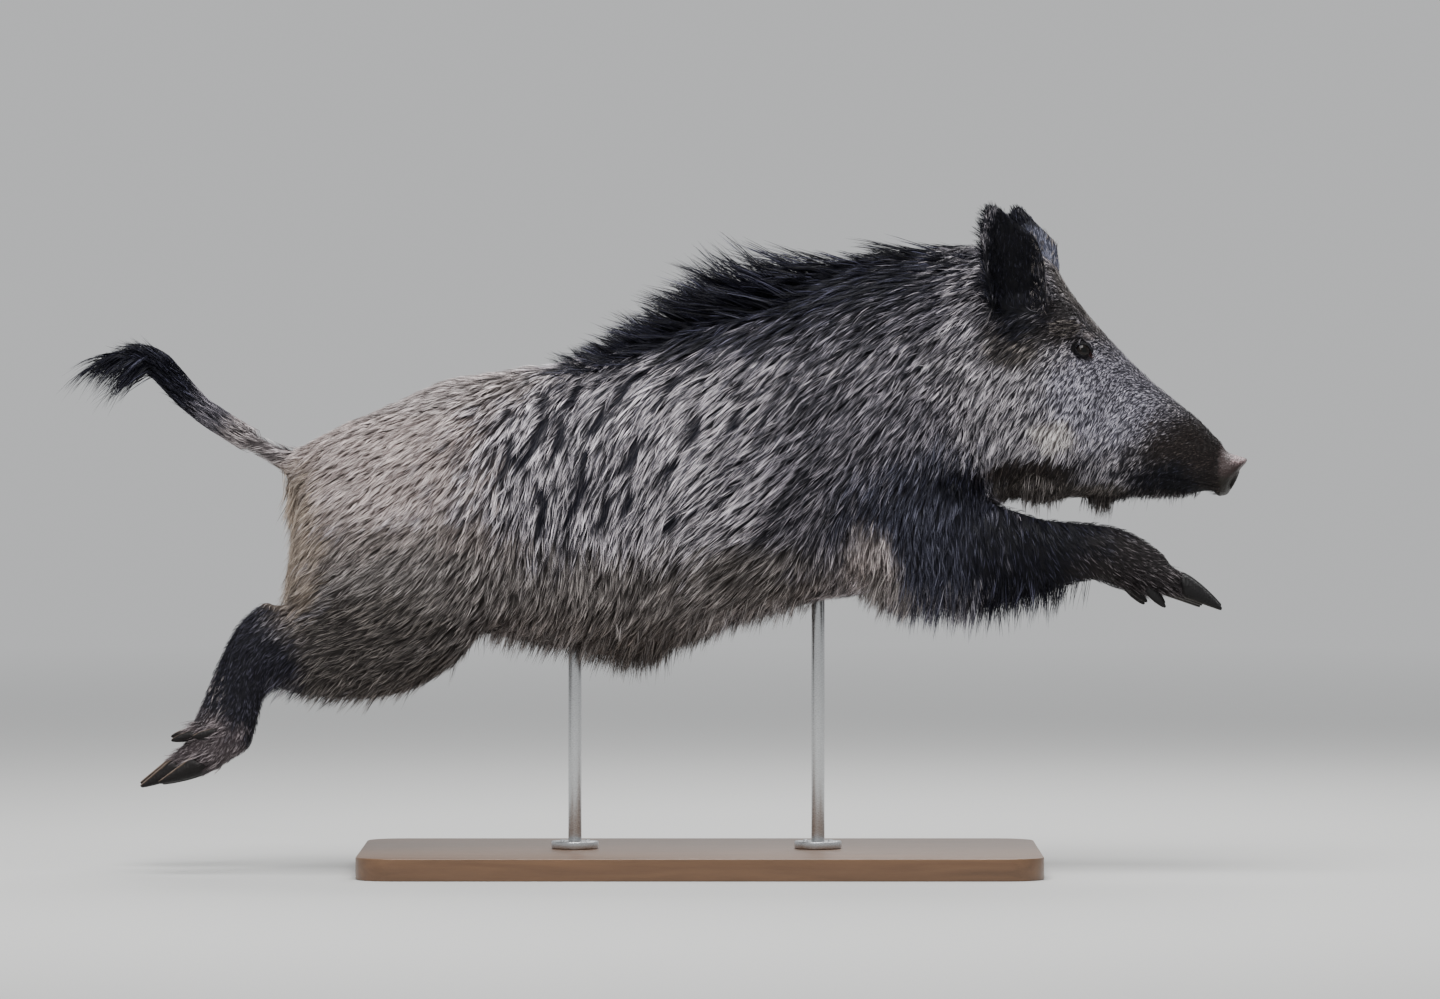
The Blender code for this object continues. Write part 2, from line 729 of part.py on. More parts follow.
def make_base(home):
    shape = bmesh.new()
    bmesh.ops.create_cube(shape, size=1.0)
    length, width, height = BASE_SIZE
    shape.transform(Matrix.Translation((0, 0, height / 2)) @ Matrix.Diagonal((*BASE_SIZE, 1.0)))
    corners = [e for e in shape.edges if abs(e.verts[0].co.z - e.verts[1].co.z) > height / 2]
    bmesh.ops.bevel(
        shape, geom=corners, offset=BASE_CORNER, segments=6, profile=0.5, affect="EDGES", clamp_overlap=True
    )
    return new_object("stand_base", shape, home)


def make_rod(name, home, grow=0.0):
    x, top = ROD_TOP[name]
    foot = BASE_SIZE[2] + GAP
    label = f"stand_rod_{name}" if not grow else f"rod_bore_{name}"
    return cylinder(label, (x, 0, foot - grow), (x, 0, top + grow), ROD_RADIUS + grow, home)


def make_flange(name, home, cutters):
    x = ROD_TOP[name][0]
    foot = BASE_SIZE[2] + GAP
    flange = cylinder(f"stand_flange_{name}", (x, 0, foot), (x, 0, foot + FLANGE_HEIGHT), FLANGE_RADIUS, home)
    bore = cylinder(
        f"flange_bore_{name}", (x, 0, foot - 0.01), (x, 0, foot + 0.05), ROD_RADIUS + GAP, cutters
    )
    boolean(flange, as_cutter(bore), "DIFFERENCE")
    return flange


# --- The whole ---


def finish(target, slot):
    target.data.materials.clear()
    target.data.materials.append(slot)
    for face in target.data.polygons:
        face.material_index = 0
    target.data.shade_smooth()
    target.data.set_sharp_from_angle(angle=math.radians(40))


def main():
    for old in list(bpy.data.objects):
        bpy.data.objects.remove(old)
    home, cutters = collection("wild_boar"), collection("cutters")
    slots = {name: material(name) for name in COLOURS}

    body = make_body(home)
    made = {}
    eyes = {name: eye_place(body, side) for name, side in SIDES.items()}
    for name, side in SIDES.items():
        made[f"eye_{name}"] = make_eye(f"eye_{name}", eyes[name], EYE_RADIUS, home)
        made[f"ear_{name}"] = triangulated(loft(f"ear_{name}", ear_rings(side), home))
        socket = make_eye(f"socket_{name}", eyes[name], EYE_RADIUS + GAP, cutters)
        root = swollen_copy(made[f"ear_{name}"], f"ear_root_{name}", EAR_SEAT, cutters)
        boolean(body, as_cutter(socket), "DIFFERENCE")
        boolean(body, as_cutter(root), "DIFFERENCE")
    made["snout_disc"] = make_disc("snout_disc", 0.0, home)
    boolean(body, as_cutter(make_disc("disc_seat", GAP, cutters)), "DIFFERENCE")
    make_nostrils(made["snout_disc"], cutters)
    for foot in feet():
        for out_sign, place in ((-1, "inner"), (1, "outer")):
            for kind, rings in (("claw", claw_rings), ("dewclaw", dewclaw_rings)):
                name = f"{kind}_{foot.name}_{place}"
                made[name] = loft(name, rings(foot, out_sign, 0.0), home)
                seat = loft(f"{name}_seat", rings(foot, out_sign, GAP), cutters)
                boolean(body, as_cutter(seat), "DIFFERENCE")
    made["stand_base"] = make_base(home)
    for name in ROD_TOP:
        made[f"stand_rod_{name}"] = make_rod(name, home)
        made[f"stand_flange_{name}"] = make_flange(name, home, cutters)
        boolean(body, as_cutter(make_rod(name, cutters, GAP)), "DIFFERENCE")

    for name, part in PARTS.items():
        if name in PAIRED:
            for side_name, side in SIDES.items():
                label = f"{name}_{side_name}"
                made[label] = part_off(body, label, part, side, home, cutters)
        else:
            made[name] = part_off(body, name, part, 1, home, cutters)
    made["jaw"] = part_off(made["head"], "jaw", JAW, 1, home, cutters)
    body.name = "trunk"
    made["trunk"] = body

    slot_of = {
        "eye": "eye",
        "claw": "horn",
        "dewclaw": "horn",
        "snout": "snout_skin",
        "mane": "coat_black",
        "forearm": "coat_black",
        "forefoot": "coat_black",
        "hindfoot": "coat_black",
        "ear": "coat_black",
        "head": "coat_face",
        "jaw": "coat_face",
    }
    for name, target in made.items():
        kind = name.split("_")[0]
        if name == "stand_base":
            slot = "wood"
        elif kind == "stand":
            slot = "steel"
        elif name == "tail_tuft":
            slot = "coat_black"
        else:
            slot = slot_of.get(kind, "coat_grey")
        finish(target, slots[slot])


main()
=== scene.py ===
# A leaping wild boar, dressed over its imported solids.
# One skin lies inside the flesh by the coat's depth. The coat is blades of hair that grow from it in locks,
# and both take their colours from the same list of markings. Eyes, hooves and stand are pieces of their own.
import math
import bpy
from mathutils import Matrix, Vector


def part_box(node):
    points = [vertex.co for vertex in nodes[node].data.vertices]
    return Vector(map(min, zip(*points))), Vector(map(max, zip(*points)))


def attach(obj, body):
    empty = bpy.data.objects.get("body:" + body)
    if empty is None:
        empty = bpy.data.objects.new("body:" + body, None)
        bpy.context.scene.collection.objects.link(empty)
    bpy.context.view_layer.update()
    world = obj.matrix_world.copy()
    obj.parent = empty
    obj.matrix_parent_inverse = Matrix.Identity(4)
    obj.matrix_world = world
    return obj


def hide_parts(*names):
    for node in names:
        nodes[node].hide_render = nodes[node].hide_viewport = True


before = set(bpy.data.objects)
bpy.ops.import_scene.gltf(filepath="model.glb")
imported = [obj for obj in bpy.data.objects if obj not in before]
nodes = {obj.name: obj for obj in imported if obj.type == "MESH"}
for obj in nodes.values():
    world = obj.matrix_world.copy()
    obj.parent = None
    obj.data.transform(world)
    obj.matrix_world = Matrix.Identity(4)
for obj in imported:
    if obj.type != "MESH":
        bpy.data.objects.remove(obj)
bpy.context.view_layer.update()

from types import SimpleNamespace

import bpy
import numpy as np
from mathutils import Vector, kdtree, noise
from mathutils.bvhtree import BVHTree

mm = 0.001
sides = {"right": -1, "left": 1}
chance = np.random.default_rng(11)  # the hair grows the same on each run

# The head is turned to the boar's right about an upright line through the neck.
headTurn = math.radians(-7)
headPivot = np.array([0.40, 0.0, 0.66])


def ramp(x, low, high):
    # 0 below low, 1 above high, and smooth between
    t = np.clip((np.asarray(x, float) - low) / (high - low), 0, 1)
    return t * t * (3 - 2 * t)


def hump(x, width):
    return np.exp(-(x / width) ** 2)


def unit(v):
    return v / np.maximum(np.linalg.norm(v, axis=-1, keepdims=True), 1e-9)


def noiseAt(points, scale):
    return np.array([noise.noise(Vector(p) * scale) for p in points.tolist()])


def turned(points, angle, pivot=(0, 0, 0)):
    # points turned about an upright line, each by its own angle
    c, s = np.cos(angle), np.sin(angle)
    rel = points - np.asarray(pivot)
    x = rel[:, 0] * c - rel[:, 1] * s
    y = rel[:, 0] * s + rel[:, 1] * c
    return np.stack([x, y, rel[:, 2]], 1) + np.asarray(pivot)


def turnAt(points):
    # how far the body has turned with the head at each point
    return headTurn * ramp(points[:, 0], 0.36, 0.44)


def straight(points):
    return turned(points, -turnAt(points), headPivot)


def leftHalf(points):
    # the places with the head straight and both halves laid on the left one
    at = straight(points)
    at[:, 1] = np.abs(at[:, 1])
    return at


def only(thing):
    bpy.ops.object.select_all(action="DESELECT")
    thing.select_set(True)
    bpy.context.view_layer.objects.active = thing
    return thing


def applyModifiers(thing):
    only(thing)
    for modifier in list(thing.modifiers):
        bpy.ops.object.modifier_apply(modifier=modifier.name)
    return thing


def addModifier(thing, kind, **settings):
    modifier = thing.modifiers.new(kind.title(), kind)
    for key, value in settings.items():
        setattr(modifier, key, value)
    return modifier


def readPoints(mesh, attribute="co"):
    values = np.empty(len(mesh.vertices) * 3, np.float32)
    if attribute == "co":
        mesh.vertices.foreach_get("co", values)
    else:
        mesh.vertex_normals.foreach_get("vector", values)
    return values.reshape(-1, 3).astype(float)


def writePoints(mesh, points):
    mesh.vertices.foreach_set("co", points.astype(np.float32).ravel())
    mesh.update()


def writeTint(mesh, tint):
    # the colour at each point, which the materials read
    tint = np.concatenate([tint, np.ones((len(tint), 1))], 1)
    data = mesh.attributes.new("tint", "FLOAT_COLOR", "POINT").data
    data.foreach_set("color", tint.astype(np.float32).ravel())


def copyOfNode(name):
    # a loose copy of a solid, with its doubles merged
    made = bpy.data.objects.new(name + "Copy", nodes[name].data.copy())
    bpy.context.scene.collection.objects.link(made)
    only(made)
    bpy.ops.object.mode_set(mode="EDIT")
    bpy.ops.mesh.select_all(action="SELECT")
    bpy.ops.mesh.remove_doubles(threshold=1e-5)
    bpy.ops.object.mode_set(mode="OBJECT")
    return made


def joined(things, name):
    only(things[0])
    for thing in things:
        thing.select_set(True)
    bpy.ops.object.join()
    made = bpy.context.view_layer.objects.active
    made.name = name
    made.data.name = name
    return made


# How the coat lies. Each row is a place on the boar's left half, with the head straight, the way that the
# hair points there, its length and the coat's depth in millimetres, and how far the row reaches in metres.

coatLie = {
    "snoutTop": ((0.690, 0.000, 0.590), (-0.80, 0, 0.60), 5, 1.5, 0.035),
    "snoutSide": ((0.680, 0.040, 0.555), (-0.90, 0, -0.35), 5, 1.5, 0.035),
    "chin": ((0.655, 0.000, 0.513), (-1.00, 0, -0.10), 8, 2, 0.035),
    "bridge": ((0.600, 0.000, 0.680), (-0.80, 0, 0.60), 8, 3, 0.040),
    "muzzle": ((0.620, 0.052, 0.600), (-0.70, 0, -0.65), 8, 3, 0.035),
    "lip": ((0.595, 0.045, 0.528), (-0.60, 0, -0.75), 15, 3, 0.030),
    "chinTuft": ((0.553, 0.000, 0.500), (-0.55, 0, -0.85), 16, 5, 0.025),
    "forehead": ((0.530, 0.000, 0.755), (-0.75, 0, 0.65), 11, 3.5, 0.040),
    "face": ((0.555, 0.065, 0.645), (-0.45, 0, -0.85), 9, 3.5, 0.035),
    "underEye": ((0.520, 0.078, 0.675), (-0.60, 0, -0.75), 8, 3.5, 0.030),
    "brow": ((0.500, 0.055, 0.745), (-0.80, 0, -0.35), 10, 4, 0.030),
    "jowl": ((0.520, 0.075, 0.565), (-0.40, 0, -0.90), 20, 6, 0.035),
    "cheek": ((0.465, 0.105, 0.620), (-0.45, 0, -0.88), 17, 7, 0.045),
    "crown": ((0.450, 0.000, 0.845), (-0.95, 0, 0.25), 26, 7, 0.040),
    "earRoot": ((0.440, 0.060, 0.730), (-0.80, 0, -0.30), 14, 4, 0.028),
    "ear": ((0.433, 0.088, 0.800), (-0.10, 0.25, 0.95), 11, 1.8, 0.030),
    "earTip": ((0.422, 0.112, 0.875), (-0.10, 0.20, 0.97), 12, 1.2, 0.030),
    "throat": ((0.470, 0.020, 0.512), (-0.80, 0, -0.50), 20, 6, 0.040),
    "neckTop": ((0.330, 0.050, 0.830), (-0.92, 0, -0.15), 55, 10, 0.060),
    "nape": ((0.390, 0.050, 0.815), (-0.80, 0, -0.55), 24, 7, 0.040),
    "behindEar": ((0.385, 0.095, 0.750), (-0.68, 0, -0.73), 24, 8, 0.040),
    "neckSide": ((0.350, 0.110, 0.710), (-0.72, 0, -0.69), 42, 11, 0.060),
    "neckLow": ((0.360, 0.105, 0.580), (-0.50, 0, -0.86), 36, 10, 0.055),
    "breast": ((0.370, 0.030, 0.480), (-0.60, 0, -0.60), 36, 10, 0.050),
    "withersTop": ((0.150, 0.020, 0.800), (-0.92, 0, -0.25), 60, 9, 0.070),
    "withersSide": ((0.160, 0.120, 0.720), (-0.70, 0, -0.71), 50, 13, 0.060),
    "shoulder": ((0.200, 0.155, 0.610), (-0.66, 0, -0.75), 42, 12, 0.060),
    "shoulderLow": ((0.130, 0.155, 0.500), (-0.82, 0, -0.57), 40, 12, 0.055),
    "ribsFore": ((0.040, 0.160, 0.600), (-0.72, 0, -0.69), 42, 13, 0.060),
    "ribsForeLow": ((0.030, 0.150, 0.460), (-0.85, 0, -0.52), 42, 13, 0.060),
    "backFore": ((-0.020, 0.060, 0.755), (-0.85, 0, -0.50), 60, 10, 0.060),
    "ribsMid": ((-0.100, 0.150, 0.560), (-0.38, 0, -0.93), 42, 13, 0.060),
    "ribsMidLow": ((-0.100, 0.140, 0.420), (-0.18, 0, -0.98), 42, 13, 0.055),
    "backMid": ((-0.120, 0.050, 0.710), (-0.85, 0, -0.50), 50, 9, 0.060),
    "flankTop": ((-0.220, 0.090, 0.640), (-0.60, 0, -0.80), 34, 10, 0.055),
    "flank": ((-0.220, 0.140, 0.530), (-0.20, 0, -0.98), 38, 12, 0.065),
    "flankLow": ((-0.210, 0.130, 0.400), (0.04, 0, -1.00), 38, 12, 0.055),
    "loin": ((-0.300, 0.030, 0.680), (-0.98, 0, -0.20), 26, 7, 0.060),
    "croup": ((-0.420, 0.040, 0.635), (-0.90, 0, -0.43), 24, 7, 0.060),
    "rumpTop": ((-0.525, 0.020, 0.575), (-0.70, 0, -0.71), 24, 7, 0.045),
    "rump": ((-0.480, 0.100, 0.530), (-0.78, 0, -0.62), 24, 8, 0.060),
    "haunch": ((-0.380, 0.130, 0.560), (-0.72, 0, -0.69), 26, 8, 0.060),
    "buttock": ((-0.535, 0.050, 0.440), (-0.12, 0, -0.99), 44, 8, 0.050),
    "thigh": ((-0.440, 0.145, 0.440), (-0.80, 0, -0.60), 26, 8, 0.060),
    "thighFore": ((-0.330, 0.130, 0.420), (-0.50, 0, -0.86), 34, 9, 0.055),
    "knee": ((-0.290, 0.115, 0.340), (-0.72, 0, -0.69), 34, 10, 0.050),
    "thighLow": ((-0.380, 0.120, 0.330), (-0.88, 0, -0.48), 28, 8, 0.050),
    "shank": ((-0.470, 0.125, 0.310), (-0.97, 0, -0.24), 20, 7, 0.050),
    "shankLow": ((-0.420, 0.090, 0.255), (-0.92, 0, -0.38), 24, 7, 0.045),
    "hock": ((-0.575, 0.105, 0.330), (-0.75, 0, -0.65), 12, 4.5, 0.035),
    "hindCannon": ((-0.615, 0.105, 0.240), (-0.22, 0, -0.97), 9, 3.5, 0.045),
    "hindToes": ((-0.680, 0.100, 0.130), (-0.77, 0, -0.64), 8, 1.3, 0.045),
    "bellyRear": ((-0.230, 0.050, 0.315), (-0.75, 0, -0.60), 42, 13, 0.060),
    "belly": ((-0.100, 0.060, 0.295), (-0.70, 0, -0.60), 48, 14, 0.060),
    "bellyFore": ((0.040, 0.060, 0.335), (-0.85, 0, -0.50), 42, 13, 0.060),
    "brisket": ((0.190, 0.050, 0.380), (-0.60, 0, -0.80), 38, 11, 0.055),
    "armpit": ((0.190, 0.140, 0.430), (0.12, 0, -0.99), 38, 11, 0.045),
    "upperArm": ((0.300, 0.145, 0.510), (-0.25, 0, -0.97), 32, 10, 0.055),
    "elbow": ((0.280, 0.130, 0.410), (0.15, 0, -0.99), 34, 10, 0.045),
    "armFront": ((0.400, 0.115, 0.470), (0.25, 0, -0.97), 22, 7, 0.045),
    "forearm": ((0.420, 0.125, 0.420), (0.15, 0, -0.99), 24, 8, 0.050),
    "foreKnee": ((0.530, 0.105, 0.445), (0.70, 0, -0.70), 13, 4.5, 0.040),
    "foreCannon": ((0.590, 0.105, 0.415), (0.90, 0, -0.43), 9, 3.2, 0.040),
    "foreToes": ((0.650, 0.100, 0.390), (0.93, 0, -0.35), 8, 1.3, 0.040),
    "tailRoot": ((-0.570, 0.010, 0.565), (-0.85, 0, 0.50), 15, 4.5, 0.030),
    "tail": ((-0.650, 0.010, 0.608), (-0.82, 0, 0.57), 20, 6, 0.040),
    "tailBend": ((-0.730, 0.010, 0.680), (-0.68, 0, 0.73), 26, 6.5, 0.035),
    "tailEnd": ((-0.790, 0.005, 0.700), (-0.97, 0, -0.20), 36, 7, 0.040),
}


def earShare(at):
    # 1 on the ears and 0 off them, for places with the head straight and on the left
    axis = np.array([(0.431, 0.050, 0.708), (0.433, 0.094, 0.815), (0.418, 0.116, 0.902)])
    apart = np.full(len(at), np.inf)
    for low, high in zip(axis, axis[1:]):
        along = high - low
        t = np.clip((at - low) @ along / (along @ along), 0, 1)
        apart = np.minimum(apart, np.linalg.norm(at - low - t[:, None] * along, axis=1))
    return ramp(at[:, 2], 0.740, 0.770) * (1 - ramp(apart, 0.050, 0.062))


def lieOfCoat(points):
    # the coat's direction, length and depth at each point, blended between the rows of coatLie
    side = np.where(straight(points)[:, 1] < 0, -1.0, 1.0)
    at = leftHalf(points)
    middles = np.array([row[0] for row in coatLie.values()])
    ways = unit(np.array([row[1] for row in coatLie.values()], float))
    numbers = np.array([row[2:4] for row in coatLie.values()], float) * mm
    reach = np.array([row[4] for row in coatLie.values()])
    apart = ((at[:, None, :] - middles) ** 2).sum(2) / (2 * reach**2)
    weight = np.exp(-apart) + 1e-9
    isEar = np.array([name in ("ear", "earTip") for name in coatLie])
    ear = earShare(at)[:, None]
    weight *= np.where(isEar, ear, 1 - ear) + 1e-9
    weight /= weight.sum(1, keepdims=True)
    way = weight @ ways
    way[:, 1] *= side * ramp(at[:, 1], 0.0, 0.02)
    way = turned(way, turnAt(points))
    length, depth = (weight @ numbers).T
    return unit(way), length, depth


# The skin: the solids of the flesh fused into one and drawn in by the coat's depth. It is thinned where
# nothing is fine.

skinPlan = {
    "swell": 0.8 * mm,  # closes the cuts between the solids
    "fuseVoxel": 3.5 * mm,
    "maneKeep": 0.42,  # share of the mane solids' height that is flesh
    "voxel": 3.2 * mm,
    "smoothing": 5,
    "bodyKeep": 0.125,  # share of the triangles kept where nothing is fine
    "earLean": {"ear_right": -3.5, "ear_left": 6.5},  # degrees
    "nakedFrom": 0.702,  # x of the snout disc's rear, with the head straight
}
# where each solid of the mane is parted from the back: x and z, and the angle that the cut faces
maneCuts = {"mane_front": ((0.200, 0.768), 100), "mane_rear": ((-0.100, 0.690), 116)}


def isFlesh(name):
    return not name.startswith(("claw", "dewclaw", "eye", "stand"))


def lowerMane(name, piece):
    # squashes a solid of the mane towards its cut, and less towards the mane's ends
    (x, z), facing = maneCuts[name]
    up = np.array([math.cos(math.radians(facing)), 0, math.sin(math.radians(facing))])
    points = readPoints(piece.data)
    height = (points - np.array([x, 0, z])) @ up
    ends = np.maximum(1 - ramp(points[:, 0], -0.20, -0.06), ramp(points[:, 0], 0.08, 0.17))
    keep = skinPlan["maneKeep"] * (1 - ends) + 0.93 * ends
    points -= np.outer(np.maximum(height, 0) * (1 - keep), up)
    writePoints(piece.data, points)


def leanEar(piece, degrees):
    # draws an ear's fore edge in towards its tip, then bends the ear forward
    points = readPoints(piece.data)
    points[:, 0] -= 0.3 * ramp(points[:, 2], 0.855, 0.900) * (points[:, 0] - 0.388)
    angle = np.radians(degrees) * ramp(points[:, 2], 0.735, 0.800)
    x, z = points[:, 0] - 0.43, points[:, 2] - 0.745
    points[:, 0] += x * (np.cos(angle) - 1) + z * np.sin(angle)
    points[:, 2] += z * (np.cos(angle) - 1) - x * np.sin(angle)
    writePoints(piece.data, points)


def remeshed(thing, voxel, smoothing):
    addModifier(thing, "REMESH", mode="VOXEL", voxel_size=voxel)
    addModifier(thing, "SMOOTH", factor=0.5, iterations=smoothing)
    return applyModifiers(thing)


def faceMiddles(mesh):
    values = np.empty(len(mesh.polygons) * 3, np.float32)
    mesh.polygons.foreach_get("center", values)
    return values.reshape(-1, 3).astype(float)


def editFaces(thing, chosen):
    # enters edit mode with only the chosen faces selected
    only(thing)
    bpy.ops.object.mode_set(mode="EDIT")
    bpy.ops.mesh.select_mode(type="FACE")
    bpy.ops.mesh.select_all(action="DESELECT")
    bpy.ops.object.mode_set(mode="OBJECT")
    thing.data.polygons.foreach_set("select", chosen)
    bpy.ops.object.mode_set(mode="EDIT")


def groupOf(thing, name, weights):
    # a vertex group with one of eleven weights at each vertex
    group = thing.vertex_groups.new(name=name)
    steps = np.rint(np.clip(weights, 0, 1) * 10).astype(int)
    for step in range(1, 11):
        group.add(np.nonzero(steps == step)[0].tolist(), step / 10, "REPLACE")
    return group


def keepLargest(thing):
    # drops the crumbs that a remesh leaves of anything thin
    only(thing)
    bpy.ops.object.mode_set(mode="EDIT")
    bpy.ops.mesh.select_all(action="SELECT")
    bpy.ops.mesh.separate(type="LOOSE")
    bpy.ops.object.mode_set(mode="OBJECT")
    islands = sorted(bpy.context.selected_objects, key=lambda part: len(part.data.vertices))
    largest, name = islands.pop(), thing.name
    for island in islands:
        bpy.data.objects.remove(island)
    largest.name = name
    return largest


def makeSkin():
    parts = []
    for name in nodes:
        if isFlesh(name):
            part = copyOfNode(name)
            if name in maneCuts:
                lowerMane(name, part)
            if name in skinPlan["earLean"]:
                leanEar(part, skinPlan["earLean"][name])
            parts.append(part)
    skin = joined(parts, "skin")
    addModifier(skin, "DISPLACE", strength=skinPlan["swell"], mid_level=0.0)
    remeshed(skin, skinPlan["fuseVoxel"], 2)
    at = leftHalf(readPoints(skin.data))
    snout, tail = ramp(at[:, 0], 0.640, 0.690), ramp(at[:, 0], -0.56, -0.60)
    fine = np.maximum.reduce([earShare(at), snout, tail, 1 - ramp(at[:, 2], 0.24, 0.28)])
    groupOf(skin, "broad", 1 - fine)
    addModifier(skin, "SMOOTH", factor=0.5, iterations=24, vertex_group="broad")
    applyModifiers(skin)
    points = readPoints(skin.data)
    depth = lieOfCoat(points)[2]
    naked = straight(points)[:, 0] > skinPlan["nakedFrom"]
    depth = np.where(naked, skinPlan["swell"] / 2, depth)
    writePoints(skin.data, points - readPoints(skin.data, "normal") * depth[:, None])
    remeshed(skin, skinPlan["voxel"], skinPlan["smoothing"])
    skin = keepLargest(skin)
    at = leftHalf(faceMiddles(skin.data))
    broad = (at[:, 0] < 0.63) & (at[:, 0] > -0.60) & (earShare(at) < 0.01)
    broad &= (at[:, 0] < 0.40) | (at[:, 2] > 0.42)
    broad &= (at[:, 0] < 0.52) | (at[:, 2] > 0.48)
    broad &= np.linalg.norm(at - (0.53, 0.055, 0.706), axis=1) > 0.055
    editFaces(skin, broad)
    bpy.ops.mesh.decimate(ratio=skinPlan["bodyKeep"])
    bpy.ops.object.mode_set(mode="OBJECT")
    return skin


skin = makeSkin()
print("skin fused and drawn in")


# The face: its skin is made finer, then lids, nostrils, mouth and folds are worked into it.

facePlan = {
    "lidHalfLength": 10.8 * mm,
    "lidHalfHeight": (7.5 * mm, 6.5 * mm),  # above and below
    "lidThickness": 1.0 * mm,
    "eyeSink": 2.6 * mm,
    "slant": -0.44,  # fall of the lids towards the snout
    "nostril": (15.5 * mm, 530 * mm, 7.5 * mm, 9.0 * mm, 13 * mm),  # y, z, half width, half height, depth
    "mouthDepth": 2.2 * mm,
    "wrinkleDepth": 0.5 * mm,
    "wrinkleApart": 8.5 * mm,
    "crease": 1.5 * mm,  # over the upper lid
    "bag": 0.8 * mm,  # under the lower lid
    "browFold": 1.3 * mm,
    "duct": 1.6 * mm,  # at the inner corner
}


def eyeFrame(side):
    # the ball's middle and radius, and the ways out, towards the snout and up its lids
    low, high = (np.array(corner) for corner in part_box("eye_" + side))
    middle, radius = (low + high) / 2, (high - low).max() / 2
    out = unit(np.array([0.36, sides[side] * 0.93, 0.10]))
    out = turned(out[None], headTurn)[0]
    fore = turned(unit(np.array([[1.0, sides[side] * -0.30, facePlan["slant"]]])), headTurn)[0]
    fore = unit(fore - (fore @ out) * out)
    up = np.cross(fore, out)
    return middle - out * facePlan["eyeSink"], radius, out, fore, up * np.sign(up[2])


def lidMeasure(points, side):
    # 1 on the edge of the lids, and the place along, above and out from the ball's middle
    middle, _, out, fore, up = eyeFrame(side)
    rel = points - middle
    along, above, outward = rel @ fore, rel @ up, rel @ out
    high, low = facePlan["lidHalfHeight"]
    half = np.where(above > 0, high, low)
    measure = np.hypot(along / facePlan["lidHalfLength"], above / half)
    return np.where(np.linalg.norm(rel, axis=1) < 0.06, measure, 9.0), along, above, outward


def refineFaces(thing, chosen, smoothing):
    editFaces(thing, chosen)
    bpy.ops.mesh.subdivide(number_cuts=1)
    bpy.ops.mesh.vertices_smooth(factor=0.5, repeat=smoothing)
    bpy.ops.object.mode_set(mode="OBJECT")


def workLids(points, side):
    radius, out = eyeFrame(side)[1:3]
    measure, along, above, outward = lidMeasure(points, side)
    flat2 = along**2 + above**2
    edge = radius + facePlan["lidThickness"]
    ball = np.sqrt(np.maximum(edge**2 - flat2, (0.25 * edge) ** 2))
    made = outward + (ball - outward) * (1 - ramp(measure, 1.2, 2.3))
    made -= facePlan["crease"] * hump(measure - 1.85, 0.16) * ramp(above, 0.0, 0.003)
    made -= facePlan["bag"] * hump(measure - 1.95, 0.18) * ramp(-above, 0.0, 0.003)
    made += facePlan["browFold"] * hump(measure - 2.4, 0.30) * ramp(above, 0.0, 0.004)
    cover = np.sqrt(np.maximum((radius + 0.7 * mm) ** 2 - flat2, 0))
    made = np.where(flat2 < radius**2, np.maximum(made, cover), made)
    duct = hump(above + 0.0008, 0.0016) * ramp(along, 0.009, 0.011) * (1 - ramp(along, 0.014, 0.021))
    made -= facePlan["duct"] * duct
    hidden = np.sqrt(np.maximum(radius**2 - flat2, 0)) - 3.5 * mm
    made = np.where(measure < 1.0, hidden + (ball - 0.8 * mm - hidden) * ramp(measure, 0.86, 0.99), made)
    moved = points + np.outer(made - outward, out)
    return np.where((measure < 3.4)[:, None], moved, points)


def workSnout(points, normals):
    at = straight(points)
    y, z, wide, tall, deep = facePlan["nostril"]
    front = ramp(at[:, 0], 0.704, 0.709)
    apart = np.hypot((np.abs(at[:, 1]) - y) / wide, (at[:, 2] - z - 0.25 * (np.abs(at[:, 1]) - y)) / tall)
    push = -deep * (1 - ramp(apart, 0.35, 0.95)) + 1.3 * mm * hump(apart - 1.2, 0.2)
    at[:, 0] += push * front * (normals[:, 0] > 0.2)
    # the mouth runs back along the side of the muzzle
    side = ramp(np.abs(normals[:, 1]), 0.35, 0.6)
    side = side * ramp(at[:, 0], 0.585, 0.60) * (1 - ramp(at[:, 0], 0.697, 0.703))
    line = 0.5345 - 0.06 * (at[:, 0] - 0.60) + 0.004 * np.sin((at[:, 0] - 0.60) * 50)
    groove = hump(at[:, 2] - line, 0.0018) - 0.35 * hump(at[:, 2] - line - 0.005, 0.003)
    moved = turned(at, turnAt(points), headPivot)
    moved -= normals * (groove * side * facePlan["mouthDepth"])[:, None]
    # folds run round the muzzle behind the disc
    wave = (at[:, 0] + 0.25 * (at[:, 2] - 0.56)) * 2 * math.pi / facePlan["wrinkleApart"]
    folds = np.sin(wave + 1.5 * np.sin(at[:, 2] * 160)) * (0.7 + 1.6 * noiseAt(at, 70))
    where = ramp(at[:, 0], 0.655, 0.675) * (1 - ramp(at[:, 0], 0.695, 0.702)) * ramp(at[:, 2], 0.53, 0.55)
    moved += normals * (folds * where * facePlan["wrinkleDepth"])[:, None]
    return moved


def eyeApart(at):
    middle = eyeFrame("left")[0]
    return np.linalg.norm(at - straight(middle[None])[0], axis=1)


for eyeReach, frontFrom, smoothing in ((0.034, 0.650, 1), (0.022, 0.700, 3)):
    at = leftHalf(faceMiddles(skin.data))
    refineFaces(skin, (eyeApart(at) < eyeReach) | (at[:, 0] > frontFrom), smoothing)
points = workSnout(readPoints(skin.data), readPoints(skin.data, "normal"))
for side in sides:
    points = workLids(points, side)
writePoints(skin.data, points)
only(skin)
bpy.ops.object.shade_smooth()
print("face worked,", sum(len(p.vertices) - 2 for p in skin.data.polygons), "triangles")


